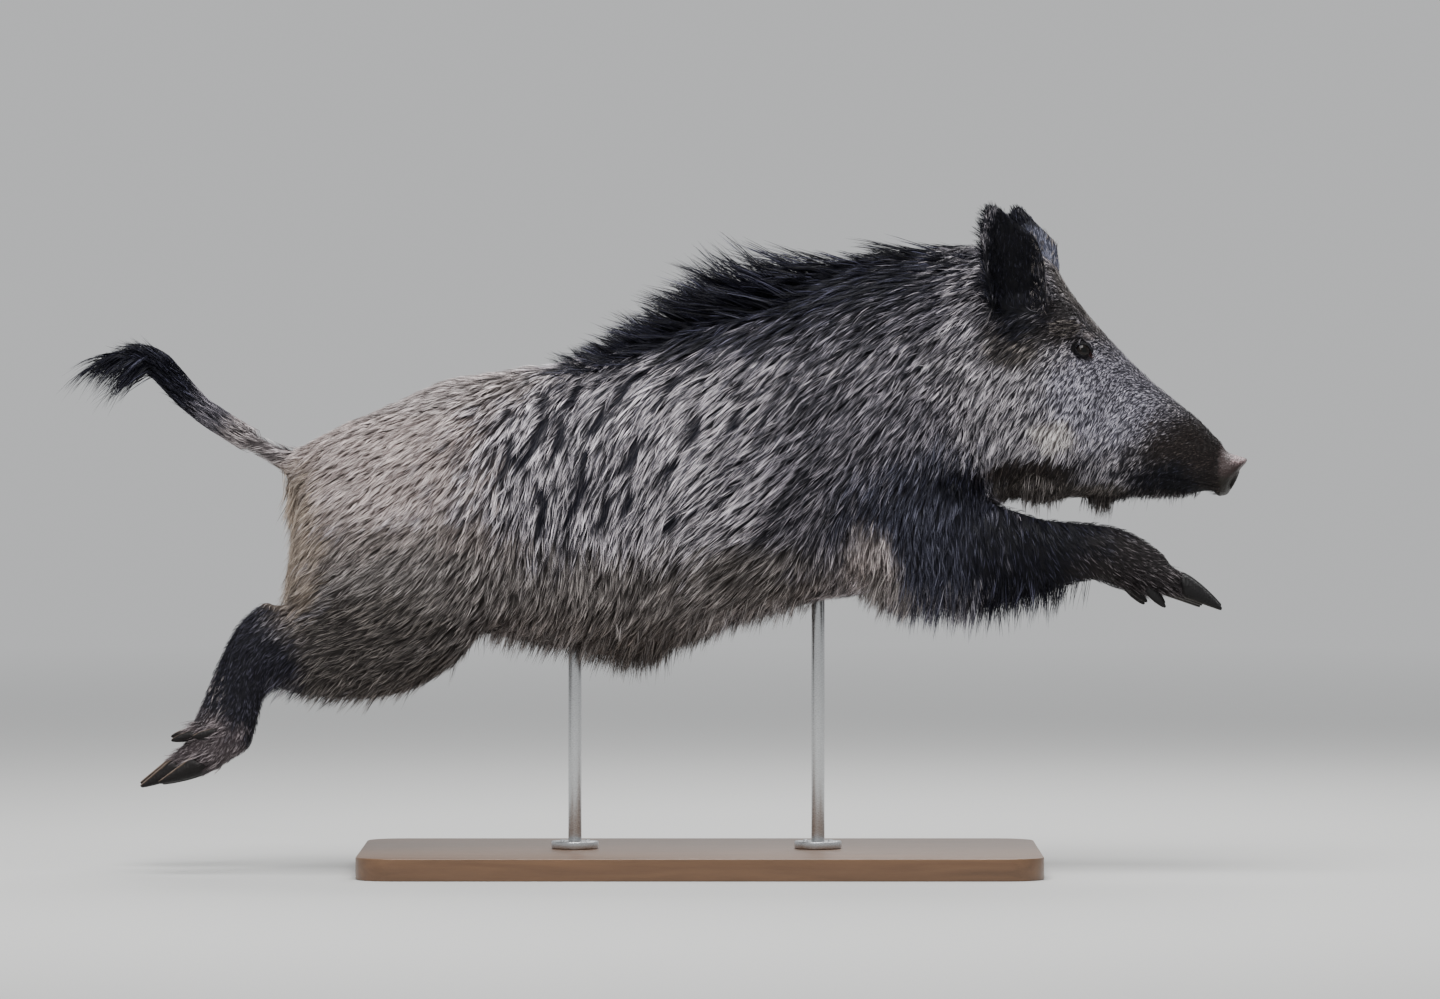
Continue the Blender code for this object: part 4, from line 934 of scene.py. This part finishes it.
tufts = {
    "mane": {
        "zone": overMane, "blades": 15000, "points": 5, "perLock": 17, "lie": maneLie, "droop": 0.12,
        "tone": "black", "slot": "coat_black", "gather": 0.93, "fan": 0.12,
    },
    "forearmFringe": {
        "zone": around(((0.40, 0.10, 0.375), (0.15, 0.08, 0.05)), ((0.31, 0.11, 0.38), (0.08, 0.08, 0.06))),
        "blades": 5000, "way": (-0.16, 0, -1), "long": (24, 50), "facing": 0.1, "slot": "coat_black",
    },
    "bellyFringe": {
        "zone": around(((-0.13, 0.04, 0.31), (0.24, 0.14, 0.05)), ((0.10, 0.06, 0.34), (0.16, 0.14, 0.05))),
        "blades": 7500, "way": (-0.50, 0, -1), "long": (22, 42), "facing": 0.15,
    },
    "bellyTuft": {
        "zone": around(((-0.075, 0.0, 0.30), (0.045, 0.05, 0.04))), "blades": 900, "way": (-0.15, 0, -1),
        "long": (30, 48), "facing": 0.3, "tone": "umber",
    },
    "elbowFringe": {
        "zone": around(((0.22, 0.13, 0.37), (0.09, 0.08, 0.06))), "blades": 3000, "way": (-0.30, 0, -1),
        "long": (22, 42), "facing": 0.0, "tone": "dun",
    },
    "thighFringe": {
        "zone": around(((-0.42, 0.10, 0.27), (0.17, 0.10, 0.06))), "blades": 4000, "way": (-0.75, 0, -0.66),
        "long": (18, 34), "facing": 0.1,
    },
    "buttockFringe": {
        "zone": around(((-0.565, 0.04, 0.46), (0.035, 0.12, 0.10))), "blades": 5000, "way": (-0.12, 0, -1),
        "long": (24, 48), "facing": -0.2, "tone": "gold", "clear": 3, "gather": 0.5, "perLock": 4,
    },
    "chinTuft": {
        "zone": around(((0.543, 0.0, 0.512), (0.024, 0.030, 0.03))), "blades": 500, "way": (-0.12, 0, -1),
        "long": (14, 30), "facing": 0.3, "tone": "umber", "slot": "coat_face", "gather": 0.85,
    },
    "throatHair": {
        "zone": around(((0.45, 0.04, 0.52), (0.06, 0.07, 0.035))), "blades": 2600, "way": (-0.25, 0, -1),
        "long": (8, 16), "facing": 0.2, "tone": "umber", "slot": "coat_face",
    },
    "throatWisps": {
        "zone": around(((0.462, 0.05, 0.525), (0.035, 0.06, 0.03))), "blades": 350, "way": (-0.10, 0, -1),
        "long": (20, 30), "facing": 0.2, "tone": "dun", "slot": "coat_face",
    },
    "jawFringe": {
        "zone": around(((0.62, 0.0, 0.512), (0.07, 0.05, 0.02))), "blades": 1500, "way": (-0.55, 0, -1),
        "long": (7, 12), "facing": 0.3, "tone": "sooty", "slot": "coat_face",
    },
    "earRearHair": {
        "zone": lambda at: earShare(at) * ramp(0.431 - at[:, 0] - 0.12 * (at[:, 2] - 0.80), 0.014, 0.024),
        "blades": 3500, "way": (-0.62, 0.10, 0.78), "long": (11, 19), "tone": "jet", "slot": "coat_black",
        "clear": 0.5,
    },
    "earForeHair": {
        "zone": lambda at: earShare(at) * ramp(at[:, 0] - 0.433, 0.018, 0.026), "blades": 900,
        "way": (-0.05, 0.05, 0.99), "long": (7, 11), "tone": "dun", "slot": "coat_black", "clear": 0.5,
    },
    "earTopHair": {
        "zone": around(((0.418, 0.116, 0.895), (0.04, 0.05, 0.028))), "blades": 1200,
        "way": (-0.30, 0.10, 0.95), "long": (8, 13), "tone": "jet", "slot": "coat_black", "clear": 0.5,
    },
    "lashes": {
        "zone": lidEdge, "blades": 110, "perLock": 2, "way": (0.10, 0.95, -0.10), "long": (6, 10),
        "tone": "jet", "slot": "coat_face", "clear": 0.3, "gather": 0.3, "droop": 0.3, "onLids": True,
    },
    "whiskers": {
        "zone": around(((0.62, 0.05, 0.56), (0.06, 0.04, 0.04)), ((0.60, 0.0, 0.52), (0.08, 0.05, 0.02))),
        "blades": 150, "perLock": 1, "way": (-0.15, 0.75, -0.5), "long": (18, 34), "tone": "sooty",
        "slot": "coat_face", "width": 0.002,
    },
    "browHair": {
        "zone": around(((0.505, 0.066, 0.735), (0.03, 0.03, 0.014))), "blades": 700,
        "way": (-0.75, 0.25, 0.15), "long": (10, 16), "tone": "umber", "slot": "coat_face", "clear": 2.5,
    },
    "hockHair": {
        "zone": around(((-0.655, 0.095, 0.235), (0.022, 0.05, 0.045))), "blades": 260,
        "way": (-0.35, 0, -0.95), "long": (9, 16), "tone": "ash", "slot": "coat_black", "clear": 1.0,
        "perLock": 5,
    },
    "foreCoronet": {
        "zone": around(*[((x, 0.085, 0.392), (0.022, 0.05, 0.030)) for x in (0.654, 0.636, 0.600, 0.582)]),
        "blades": 3000, "way": (0.84, 0, -0.54), "long": (12, 22), "tone": "sooty", "slot": "coat_black",
        "clear": 3.0, "droop": 0.0, "perLock": 3, "gather": 0.2,
    },
    "hindCoronet": {
        "zone": around(
            ((-0.662, 0.088, 0.146), (0.024, 0.05, 0.030)), ((-0.645, 0.086, 0.194), (0.018, 0.04, 0.018)),
            ((-0.702, 0.088, 0.138), (0.024, 0.05, 0.030)), ((-0.685, 0.086, 0.186), (0.018, 0.04, 0.018)),
        ),
        "blades": 3400, "way": (-0.88, 0, -0.47), "long": (12, 24), "tone": "taupe", "slot": "coat_black",
        "clear": 3.0, "droop": 0.0, "perLock": 3, "gather": 0.2,
    },
    "tailHair": {
        "zone": around(((-0.69, 0.0, 0.64), (0.12, 0.05, 0.11))), "blades": 6000, "lie": downCoat,
        "long": (22, 36), "droop": 0.0, "slot": "coat_black", "clear": 8.0, "fan": 0.06, "gather": 0.3,
        "perLock": 5,
    },
    "tailTuft": {
        "zone": around(((-0.79, 0.0, 0.69), (0.06, 0.05, 0.05))), "blades": 1700, "way": (-0.93, 0, -0.30),
        "long": (34, 76), "droop": 0.38, "tone": "black", "slot": "coat_black", "perLock": 6, "gather": 0.8,
        "fan": 0.20, "sizes": (0.5, 1.05),
    },
}


def growTufts(name, plan):
    weight = plan["zone"](leftHalf(ground.middles)) * (1 if plan["onLids"] else ground.cover)
    if plan["facing"] is not None:
        first, second, third = (ground.points[ground.corners[:, k]] for k in range(3))
        normal = unit(np.cross(second - first, third - first))
        way = unit(np.array(plan["way"], float))
        weight = weight * ramp(normal @ way, plan["facing"] - 0.1, plan["facing"] + 0.2)
    roots, normals = scatter(weight, plan["blades"])
    count, points = len(roots), plan["points"]
    seeds = chance.choice(count, count // plan["perLock"], replace=False)
    mirrored = np.where(roots[:, 1:2] < 0, -1, 1) * (0, 1, 0) + (1, 0, 1)
    way, length = plan["lie"](leftHalf(roots), plan)
    way = way * mirrored
    mine = nearestLocks(roots, normals, seeds, 10 * mm)
    fanned = unit(way[seeds] + chance.normal(0, plan["fan"], (len(seeds), 3)) + normals[seeds] * 0.15)
    lockLength = length[seeds] * chance.uniform(0.85, 1.1, len(seeds))
    size = chance.uniform(*plan["sizes"], count) * lockLength[mine]
    offset = roots - roots[seeds][mine]
    stray = chance.normal(0, 1, (count, 3)) * (size * plan["stray"])[:, None]
    lines = [roots - normals * 0.5 * mm]
    for share in np.linspace(0, 1, points)[1:]:
        spine = roots[seeds][mine] + fanned[mine] * (size * share)[:, None]
        spine[:, 2] -= size * plan["droop"] * share**2
        at = spine + offset * (1 - plan["gather"] * share**1.2) + stray * share**1.5
        near, up = onSkin(at)
        height = ((at - near) * up).sum(1)
        short = np.clip(plan["clear"] * mm - height, 0, 0.03)
        lines.append(at + up * short[:, None])
    facing = normals + chance.normal(0, 0.2, (count, 3))
    dressBlades(name, plan, np.stack(lines, 1), roots, facing, size, roots[seeds], normals[seeds], mine)


# The skin's colours, which show where no hair grows, and a painted highlight on the snout disc's upper flare.

nakedTones = {
    "disc": (0.036, 0.022, 0.021),
    # painted highlight for the disc's upper flare
    "discFlareHighlight": (0.40, 0.29, 0.30),
    "discLow": (0.015, 0.012, 0.009),
    "nostril": (0.012, 0.008, 0.008),
    "lid": (0.010, 0.009, 0.011),
    "corner": (0.060, 0.020, 0.020),
    "mouth": (0.008, 0.006, 0.006),
}


def tintSkin(points, tint):
    # the skin's colours with the naked parts' tones blended in, a painted highlight among them, and where it
    # is naked
    at = leftHalf(points)
    tint = tint.copy()

    def blendTone(name, share):
        tint[:] = tint + share[:, None] * (np.array(nakedTones[name]) - tint)

    disc = ramp(at[:, 0], skinPlan["nakedFrom"] + 0.001, skinPlan["nakedFrom"] + 0.006)
    blendTone("disc", disc)
    patchy = noiseAt(at, 110) + noiseAt(at, 420)
    blendTone("discLow", disc * (1 - ramp(at[:, 2] + patchy * 0.006, 0.528, 0.546)))
    # painted highlight: a pale, mottled tone over the upper flare of the snout disc
    flare = ramp(at[:, 0] + patchy * 0.005 + 0.5 * (at[:, 2] - 0.56), 0.716, 0.728)
    flareHighlightShare = flare * ramp(at[:, 2] + patchy * 0.006, 0.548, 0.560) * np.clip(0.62 + 0.55 * patchy, 0.05, 1)
    blendTone("discFlareHighlight", disc * flareHighlightShare)
    y, z, wide, tall = facePlan["nostril"][:4]
    apart = np.hypot((at[:, 1] - y) / wide, (at[:, 2] - z) / tall)
    blendTone("nostril", disc * (1 - ramp(apart, 0.8, 1.15)))
    naked = disc.copy()
    for side in sides:
        measure, along, above, _ = lidMeasure(points, side)
        lid = 1 - ramp(measure, 1.45, 1.75)
        blendTone("lid", lid)
        duct = hump(above + 0.0008, 0.003) * ramp(along, 0.008, 0.010) * (1 - ramp(along, 0.015, 0.021))
        blendTone("corner", duct * (measure < 3))
        naked = np.maximum(naked, lid)
    return tint, naked


class Value:
    # a socket on which Python's maths adds Math nodes
    def __init__(self, paint, socket):
        self.paint, self.socket = paint, socket

    def maths(self, operation, *others):
        return self.paint.node("ShaderNodeMath", {"operation": operation}, dict(enumerate((self, *others))))

    def __add__(self, other):
        return self.maths("ADD", other)

    def __mul__(self, other):
        return self.maths("MULTIPLY", other)

    def __sub__(self, other):
        return self.maths("SUBTRACT", other)

    def __rsub__(self, other):
        return self.paint.node("ShaderNodeMath", {"operation": "SUBTRACT"}, {0: other, 1: self})

    __radd__, __rmul__ = __add__, __mul__


class Paint:
    # a material and its nodes
    def __init__(self, name, **settings):
        self.material = bpy.data.materials.new(name)
        self.material.use_nodes = True
        self.nodes = self.material.node_tree.nodes
        self.links = self.material.node_tree.links
        self.shader = self.nodes["Principled BSDF"]
        self.set(self.shader, settings)

    def set(self, node, inputs):
        for key, value in inputs.items():
            if isinstance(key, str) and key not in node.inputs:
                key = key.replace("_", " ")
            socket = node.inputs[key]
            if isinstance(value, Value):
                self.links.new(value.socket, socket)
            elif hasattr(value, "__len__") and socket.type == "RGBA":
                socket.default_value = (*value, 1.0)[:4]
            else:
                socket.default_value = value

    def node(self, kind, settings={}, inputs={}, output=0):
        made = self.nodes.new(kind)
        for key, value in settings.items():
            if key == "stops":
                for element, (place, colour) in zip(made.color_ramp.elements, value):
                    element.position, element.color = place, (*colour, 1.0)[:4]
            else:
                setattr(made, key, value)
        self.set(made, inputs)
        return Value(self, made.outputs[output])

    def attribute(self, name, output="Color"):
        return self.node("ShaderNodeAttribute", {"attribute_name": name}, output=output)

    def noise(self, scale, detail=3.0, vector=None, **inputs):
        if vector is not None:
            inputs["Vector"] = vector
        return self.node("ShaderNodeTexNoise", {}, {"Scale": scale, "Detail": detail, **inputs})

    def mix(self, factor, low, high, blend="MIX"):
        settings = {"data_type": "RGBA", "blend_type": blend}
        return self.node("ShaderNodeMix", settings, {0: factor, 6: low, 7: high}, output=2)

    def bump(self, height, strength, distance):
        return self.node("ShaderNodeBump", {}, {"Height": height, "Strength": strength, "Distance": distance})

    def place(self):
        return self.node("ShaderNodeTexCoord", output="Object")


coatPaint = Paint("coatHair", Roughness=0.5)
coatPaint.set(coatPaint.shader, {"Base_Color": coatPaint.attribute("tint"), "Specular_IOR_Level": 0.16})
coatMaterial = coatPaint.material

skinPaint = Paint("skinUnderCoat", Specular_IOR_Level=0.25)
place = skinPaint.place()
pores = skinPaint.noise(900, 2, place)
blotch = skinPaint.noise(120, 3, place)
folds = skinPaint.noise(380, 3, place)
naked = skinPaint.attribute("naked", 2)
skinPaint.set(skinPaint.shader, {
    "Base_Color": skinPaint.mix(blotch * 0.6, skinPaint.attribute("tint"), (0.35, 0.30, 0.30), "MULTIPLY"),
    "Roughness": 0.75 - naked * 0.3,
    "Normal": skinPaint.bump(pores + blotch * 2.0 + naked * folds * 3.0, 0.6, 0.0009),
})
skin.data.materials.clear()
skin.data.materials.append(skinPaint.material)

ground = meshOf(skin)
ground.crestAt = np.linspace(-0.35, 0.50, 60)
onTop = ground.points[np.abs(ground.points[:, 1]) < 12 * mm]
ground.crest = [onTop[np.abs(onTop[:, 0] - x) < 12 * mm, 2].max() for x in ground.crestAt]
at = leftHalf(ground.middles)
ground.cover = 1 - ramp(at[:, 0], skinPlan["nakedFrom"] + 0.004, skinPlan["nakedFrom"] + 0.009)
measure = np.minimum(*(lidMeasure(ground.points, side)[0] for side in sides))
ground.cover *= ramp(measure[ground.corners].min(1), 1.45, 1.9)
low, high = tonesAt(ground.points, ground.normals)[:2]
tint, naked = tintSkin(ground.points, low + (high - low) * 0.25)
skin.data.attributes.new("naked", "FLOAT", "POINT").data.foreach_set("value", naked.astype(np.float32))
writeTint(skin.data, tint)

# lines that the coat's unwraps run round
bodyAxis = [(-0.58, 0, 0.52), (-0.20, 0, 0.50), (0.10, 0, 0.57), (0.36, 0, 0.66), (0.50, 0, 0.66)]
headAxis = [(0.36, 0, 0.70), (0.50, 0, 0.64), (0.73, -0.03, 0.54)]
legAxes = [
    [(0.25, 0.096 * s, 0.46), (0.52, 0.087 * s, 0.435), (0.72, 0.085 * s, 0.36)] for s in (-1, 1)
] + [
    [(-0.35, 0.088 * s, 0.33), (-0.60, 0.088 * s, 0.33), (-0.65, 0.086 * s, 0.175), (-0.74, 0.086 * s, 0.08)]
    for s in (-1, 1)
]

# What a user would change in the coat. sizes and lift are shares of coatLie's length and depth, fan and stray
# spread the locks and hairs, gather closes a lock's tip, roll turns the blades by so many degrees, dark is the
# share of a blade that keeps its root's colour, and streak is how far the locks differ in brightness.
coatPlan = {
    "blades": 35500, "perLock": 6, "points": 4, "length": 1.0, "sizes": (0.65, 1.1), "lift": (0.5, 1.1),
    "fan": 0.14, "gather": 0.66, "stray": 0.03, "roll": 28, "width": 0.0044, "thin": 0.25, "dark": 0.42,
    "streak": 0.62, "streakScale": 62, "shortBias": 0.8, "slot": "coat_grey", "axes": [bodyAxis],
}


def isForeLeg(at):
    return (at[:, 0] > 0.345) & (at[:, 2] < 0.50 - 0.10 * (at[:, 0] - 0.345)) & (at[:, 1] > 0.03)


def isHindLeg(at):
    return (at[:, 2] < 0.40) & (at[:, 0] < -0.44) | (at[:, 0] < -0.57) & (at[:, 2] < 0.42)


def isTail(at):
    return (at[:, 0] < -0.572) & (at[:, 2] > 0.50)


def isHead(at):
    return (at[:, 0] > 0.415) & (at[:, 2] > 0.49) & ~isForeLeg(at)


def between(low, high):
    def zone(at):
        other = isForeLeg(at) | isHindLeg(at) | isTail(at) | isHead(at)
        return ((at[:, 0] >= low) & (at[:, 0] < high) & ~other).astype(float)
    return zone


def isLimb(at):
    return ((isForeLeg(at) | isHindLeg(at) | isTail(at)) & ~isHead(at)).astype(float)


zones = {
    "coatHaunch": (between(-1.0, -0.33), {
        "points": 3, "blades": 49500, "perLock": 7, "streak": 0.36, "width": 0.0055, "gather": 0.45,
    }),
    "coatFlank": (between(-0.33, -0.08), {}),
    "coatRibs": (between(-0.08, 0.14), {}),
    "coatShoulder": (between(0.14, 0.30), {"blades": 31500, "length": 0.88, "perLock": 5}),
    "coatNeck": (between(0.30, 1.0), {"points": 3, "blades": 42000, "length": 0.82, "perLock": 5}),
    "coatHead": (lambda at: isHead(at).astype(float), {
        "blades": 62000, "points": 3, "perLock": 4, "axes": [headAxis], "slot": "coat_face", "width": 0.008,
        "streak": 0.34, "gather": 0.35, "roll": 20,
    }),
    "coatLimbs": (isLimb, {
        "points": 3, "blades": 56000, "axes": legAxes, "slot": "coat_black", "streak": 0.16, "gather": 0.45,
    }),
}
for name, (zone, changes) in zones.items():
    growCoat(name, {**coatPlan, **changes}, zone)
for name, changes in tufts.items():
    growTufts(name, {**tuftPlan, **changes})

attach(skin, "root")
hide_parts(*[n for n in nodes if isFlesh(n)])


def finish(thing, name, material, replaced):
    thing.name = thing.data.name = name
    thing.data.materials.clear()
    thing.data.materials.append(material)
    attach(thing, "root")
    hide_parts(replaced)


# The eyes: dark balls with a clear bulge over the iris.

eyePlan = {
    "bulge": 0.5 * mm,
    "irisFrom": 0.80,  # cosine of the angle from the way out to the iris's edge
    "pupilFrom": 0.945,
    "white": (0.006, 0.004, 0.004),
    "iris": (0.006, 0.003, 0.002),
    "pupil": (0.001, 0.001, 0.001),
}
eyePaint = Paint("eyeBall", Roughness=0.06, Specular_IOR_Level=0.30)
eyePaint.set(eyePaint.shader, {"Base_Color": eyePaint.attribute("tint")})
for side in sides:
    middle, radius, out = eyeFrame(side)[:3]
    bpy.ops.mesh.primitive_uv_sphere_add(segments=64, ring_count=48, radius=radius, location=middle)
    eye = bpy.context.object
    bpy.ops.object.transform_apply(location=True, rotation=True, scale=True)
    points = readPoints(eye.data)
    rel = unit(points - middle)
    facing = rel @ out
    points += rel * (eyePlan["bulge"] * ramp(facing, eyePlan["irisFrom"] - 0.1, 0.97))[:, None]
    writePoints(eye.data, points)
    tint = np.tile(eyePlan["white"], (len(points), 1))
    for name, edge in (("iris", eyePlan["irisFrom"]), ("pupil", eyePlan["pupilFrom"])):
        tint += ramp(facing, edge - 0.01, edge + 0.01)[:, None] * (np.array(eyePlan[name]) - tint)
    writeTint(eye.data, tint)
    bpy.ops.object.shade_smooth()
    finish(eye, "eyeball_" + side, eyePaint.material, "eye_" + side)


# The hooves and dewclaws: the solids rounded, with paler soles.

hornPlan = {
    "toeAngle": {"fore_right": -18, "fore_left": -18, "hind_right": 218, "hind_left": 221},
    "wall": {"fore": (0.008, 0.0075, 0.008), "hind": (0.010, 0.008, 0.008)},
    "edge": {"fore": (0.03, 0.022, 0.016), "hind": (0.13, 0.085, 0.055)},
    "sole": {"fore": (0.035, 0.029, 0.026), "hind": (0.26, 0.21, 0.18)},
}
hornPaint = Paint("hoofHorn", Specular_IOR_Level=0.22)
place = hornPaint.place()
grain = hornPaint.noise(260, 4, place)
ridges = hornPaint.noise(40, 3, hornPaint.node("ShaderNodeMapping", {}, {0: place, 3: (9, 1, 1)}))
hornPaint.set(hornPaint.shader, {
    "Base_Color": hornPaint.mix(grain, hornPaint.attribute("tint"), (0.45, 0.42, 0.40), "MULTIPLY"),
    "Roughness": 0.42 + grain * 0.3,
    "Normal": hornPaint.bump(grain + ridges, 0.8, 0.0012),
})
for name in [n for n in nodes if n.startswith(("claw", "dewclaw"))]:
    hoof = copyOfNode(name)
    addModifier(hoof, "SUBSURF", levels=2, render_levels=2)
    applyModifiers(hoof)
    key = "_".join(name.split("_")[1:3])
    angle = math.radians(hornPlan["toeAngle"][key])
    sole = np.array([math.sin(angle), 0, -math.cos(angle)])
    facing = readPoints(hoof.data, "normal") @ sole
    wall, edge, under = (np.array(hornPlan[part][key[:4]]) for part in ("wall", "edge", "sole"))
    tint = np.tile(wall, (len(facing), 1))
    tint += ramp(facing, 0.78, 0.88)[:, None] * (edge - tint)
    tint += ramp(facing, 0.92, 0.98)[:, None] * (under - tint)
    writeTint(hoof.data, tint)
    bpy.ops.object.shade_smooth()
    finish(hoof, "hoof_" + name, hornPaint.material, name)


# The stand: a bevelled walnut plinth, and polished steel rods that stand in flanges.

standPlan = {
    "plinthBevel": 4 * mm,
    "flangeBevel": 1.5 * mm,
    "screwRadius": 3.2 * mm,
    "screwRing": 0.024,
}
woodPaint = Paint("plinthWood", Roughness=0.42, Coat_Weight=0.25, Coat_Roughness=0.2)
grainPlace = woodPaint.node("ShaderNodeMapping", {}, {0: woodPaint.place(), 3: (1.2, 16, 16)})
rings = woodPaint.noise(5.0, 5, grainPlace, Distortion=0.8)
fibres = woodPaint.noise(60, 3, grainPlace)
woodPaint.set(woodPaint.shader, {
    "Base_Color": woodPaint.mix(rings * 0.75 + fibres * 0.25, (0.060, 0.028, 0.013), (0.22, 0.115, 0.055)),
    "Roughness": 0.36 + fibres * 0.16,
    "Normal": woodPaint.bump(fibres, 0.25, 0.0004),
})
steelPaint = Paint("standSteel", Base_Color=(0.56, 0.57, 0.58), Metallic=1.0, Roughness=0.28)
brushed = steelPaint.node("ShaderNodeMapping", {}, {0: steelPaint.place(), 3: (40, 40, 900)})
steelPaint.set(steelPaint.shader, {"Roughness": 0.2 + steelPaint.noise(6, 2, brushed) * 0.16})


def cylinder(radius, low, high, x, y=0.0, corners=64):
    place = (x, y, (low + high) / 2)
    bpy.ops.mesh.primitive_cylinder_add(vertices=corners, radius=radius, depth=high - low, location=place)
    bpy.ops.object.transform_apply(location=True, rotation=True, scale=True)
    return bpy.context.object


def bevelled(thing, width, smoothBelow=35):
    addModifier(thing, "BEVEL", width=width, segments=3, limit_method="ANGLE", angle_limit=math.radians(50))
    applyModifiers(thing)
    bpy.ops.object.shade_smooth_by_angle(angle=math.radians(smoothBelow))
    return thing


plinth = bevelled(copyOfNode("stand_base"), standPlan["plinthBevel"], 25)
finish(plinth, "plinth", woodPaint.material, "stand_base")

for place in ("front", "rear"):
    low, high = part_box("stand_rod_" + place)
    rod = bevelled(cylinder((high[0] - low[0]) / 2, low[2], high[2], (low[0] + high[0]) / 2), 1 * mm)
    finish(rod, "rod_" + place, steelPaint.material, "stand_rod_" + place)
    low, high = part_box("stand_flange_" + place)
    x = (low[0] + high[0]) / 2
    flange = bevelled(cylinder((high[0] - low[0]) / 2, low[2], high[2], x), standPlan["flangeBevel"])
    heads = [flange]
    for turn in (45, 135, 225, 315):
        ring = standPlan["screwRing"]
        across, along = ring * math.cos(math.radians(turn)), ring * math.sin(math.radians(turn))
        head = cylinder(standPlan["screwRadius"], high[2] - 1 * mm, high[2] + 1.2 * mm, x + across, along, 24)
        heads.append(bevelled(head, 0.5 * mm))
    finish(joined(heads, "flange"), "flange_" + place, steelPaint.material, "stand_flange_" + place)
print("eyes, hooves and stand made")


# A pale floor that fades into the backdrop, soft lights, and a camera square to the boar's right side.

stagePlan = {
    "backdrop": (0.80, 0.81, 0.82),
    "floor": (0.55, 0.55, 0.54),
    "glow": 0.72,
    "fade": (1.5, 9.0),  # where the floor starts and ends to fade
    "lookAt": (0.027, 0, 0.504),
    "cameraAway": 12.0,
    "cameraRise": 0.21,
    "metresAcross": 1.95408,
}
lights = {  # place, target, size and power
    "key": ((-0.2, -1.3, 3.6), (0, 0, 0.5), 2.6, 190),
    "spark": ((-0.55, -2.6, 2.1), (0.5, 0, 0.7), 0.16, 9),
    "rim": ((0.8, 2.2, 2.8), (0, 0, 0.6), 2.0, 80),
}
bpy.ops.mesh.primitive_plane_add(size=60, location=(0, 0, 0))
floor = bpy.context.object
floor.name = "floor"
floorPaint = Paint("floorPaint", Base_Color=stagePlan["floor"], Roughness=0.9)
far = floorPaint.node("ShaderNodeVectorMath", {"operation": "LENGTH"}, {0: floorPaint.place()}, output=1)
start, end = stagePlan["fade"]
fade = floorPaint.node("ShaderNodeMapRange", {}, {0: far, 1: start, 2: end})
glow = floorPaint.node("ShaderNodeEmission", {}, {
    "Color": stagePlan["backdrop"], "Strength": stagePlan["glow"],
})
surface = Value(floorPaint, floorPaint.shader.outputs[0])
blend = floorPaint.node("ShaderNodeMixShader", {}, {0: fade, 1: surface, 2: glow})
floorPaint.set(floorPaint.nodes["Material Output"], {0: blend})
floor.data.materials.append(floorPaint.material)

world = bpy.data.worlds.new("studio")
bpy.context.scene.world = world
world.use_nodes = True
sky = world.node_tree.nodes["Background"]
sky.inputs[0].default_value = (*stagePlan["backdrop"], 1)
sky.inputs[1].default_value = stagePlan["glow"]


def aimed(thing, place, target):
    bpy.context.scene.collection.objects.link(thing)
    thing.location = place
    thing.rotation_euler = (Vector(target) - thing.location).to_track_quat("-Z", "Y").to_euler()
    return thing


def softLight(name, place, target, size, power):
    light = bpy.data.lights.new(name, "AREA")
    light.energy, light.size = power, size
    aimed(bpy.data.objects.new(name, light), place, target)


for name, row in lights.items():
    softLight(name, *row)

camera = bpy.data.cameras.new("camera")
camera.sensor_width = 36
camera.lens = 36 * stagePlan["cameraAway"] / stagePlan["metresAcross"]
camera.clip_end = 200
target = Vector(stagePlan["lookAt"])
place = target + Vector((0, -stagePlan["cameraAway"], stagePlan["cameraRise"]))
bpy.context.scene.camera = aimed(bpy.data.objects.new("camera", camera), place, target)
print("floor, lights and camera set")
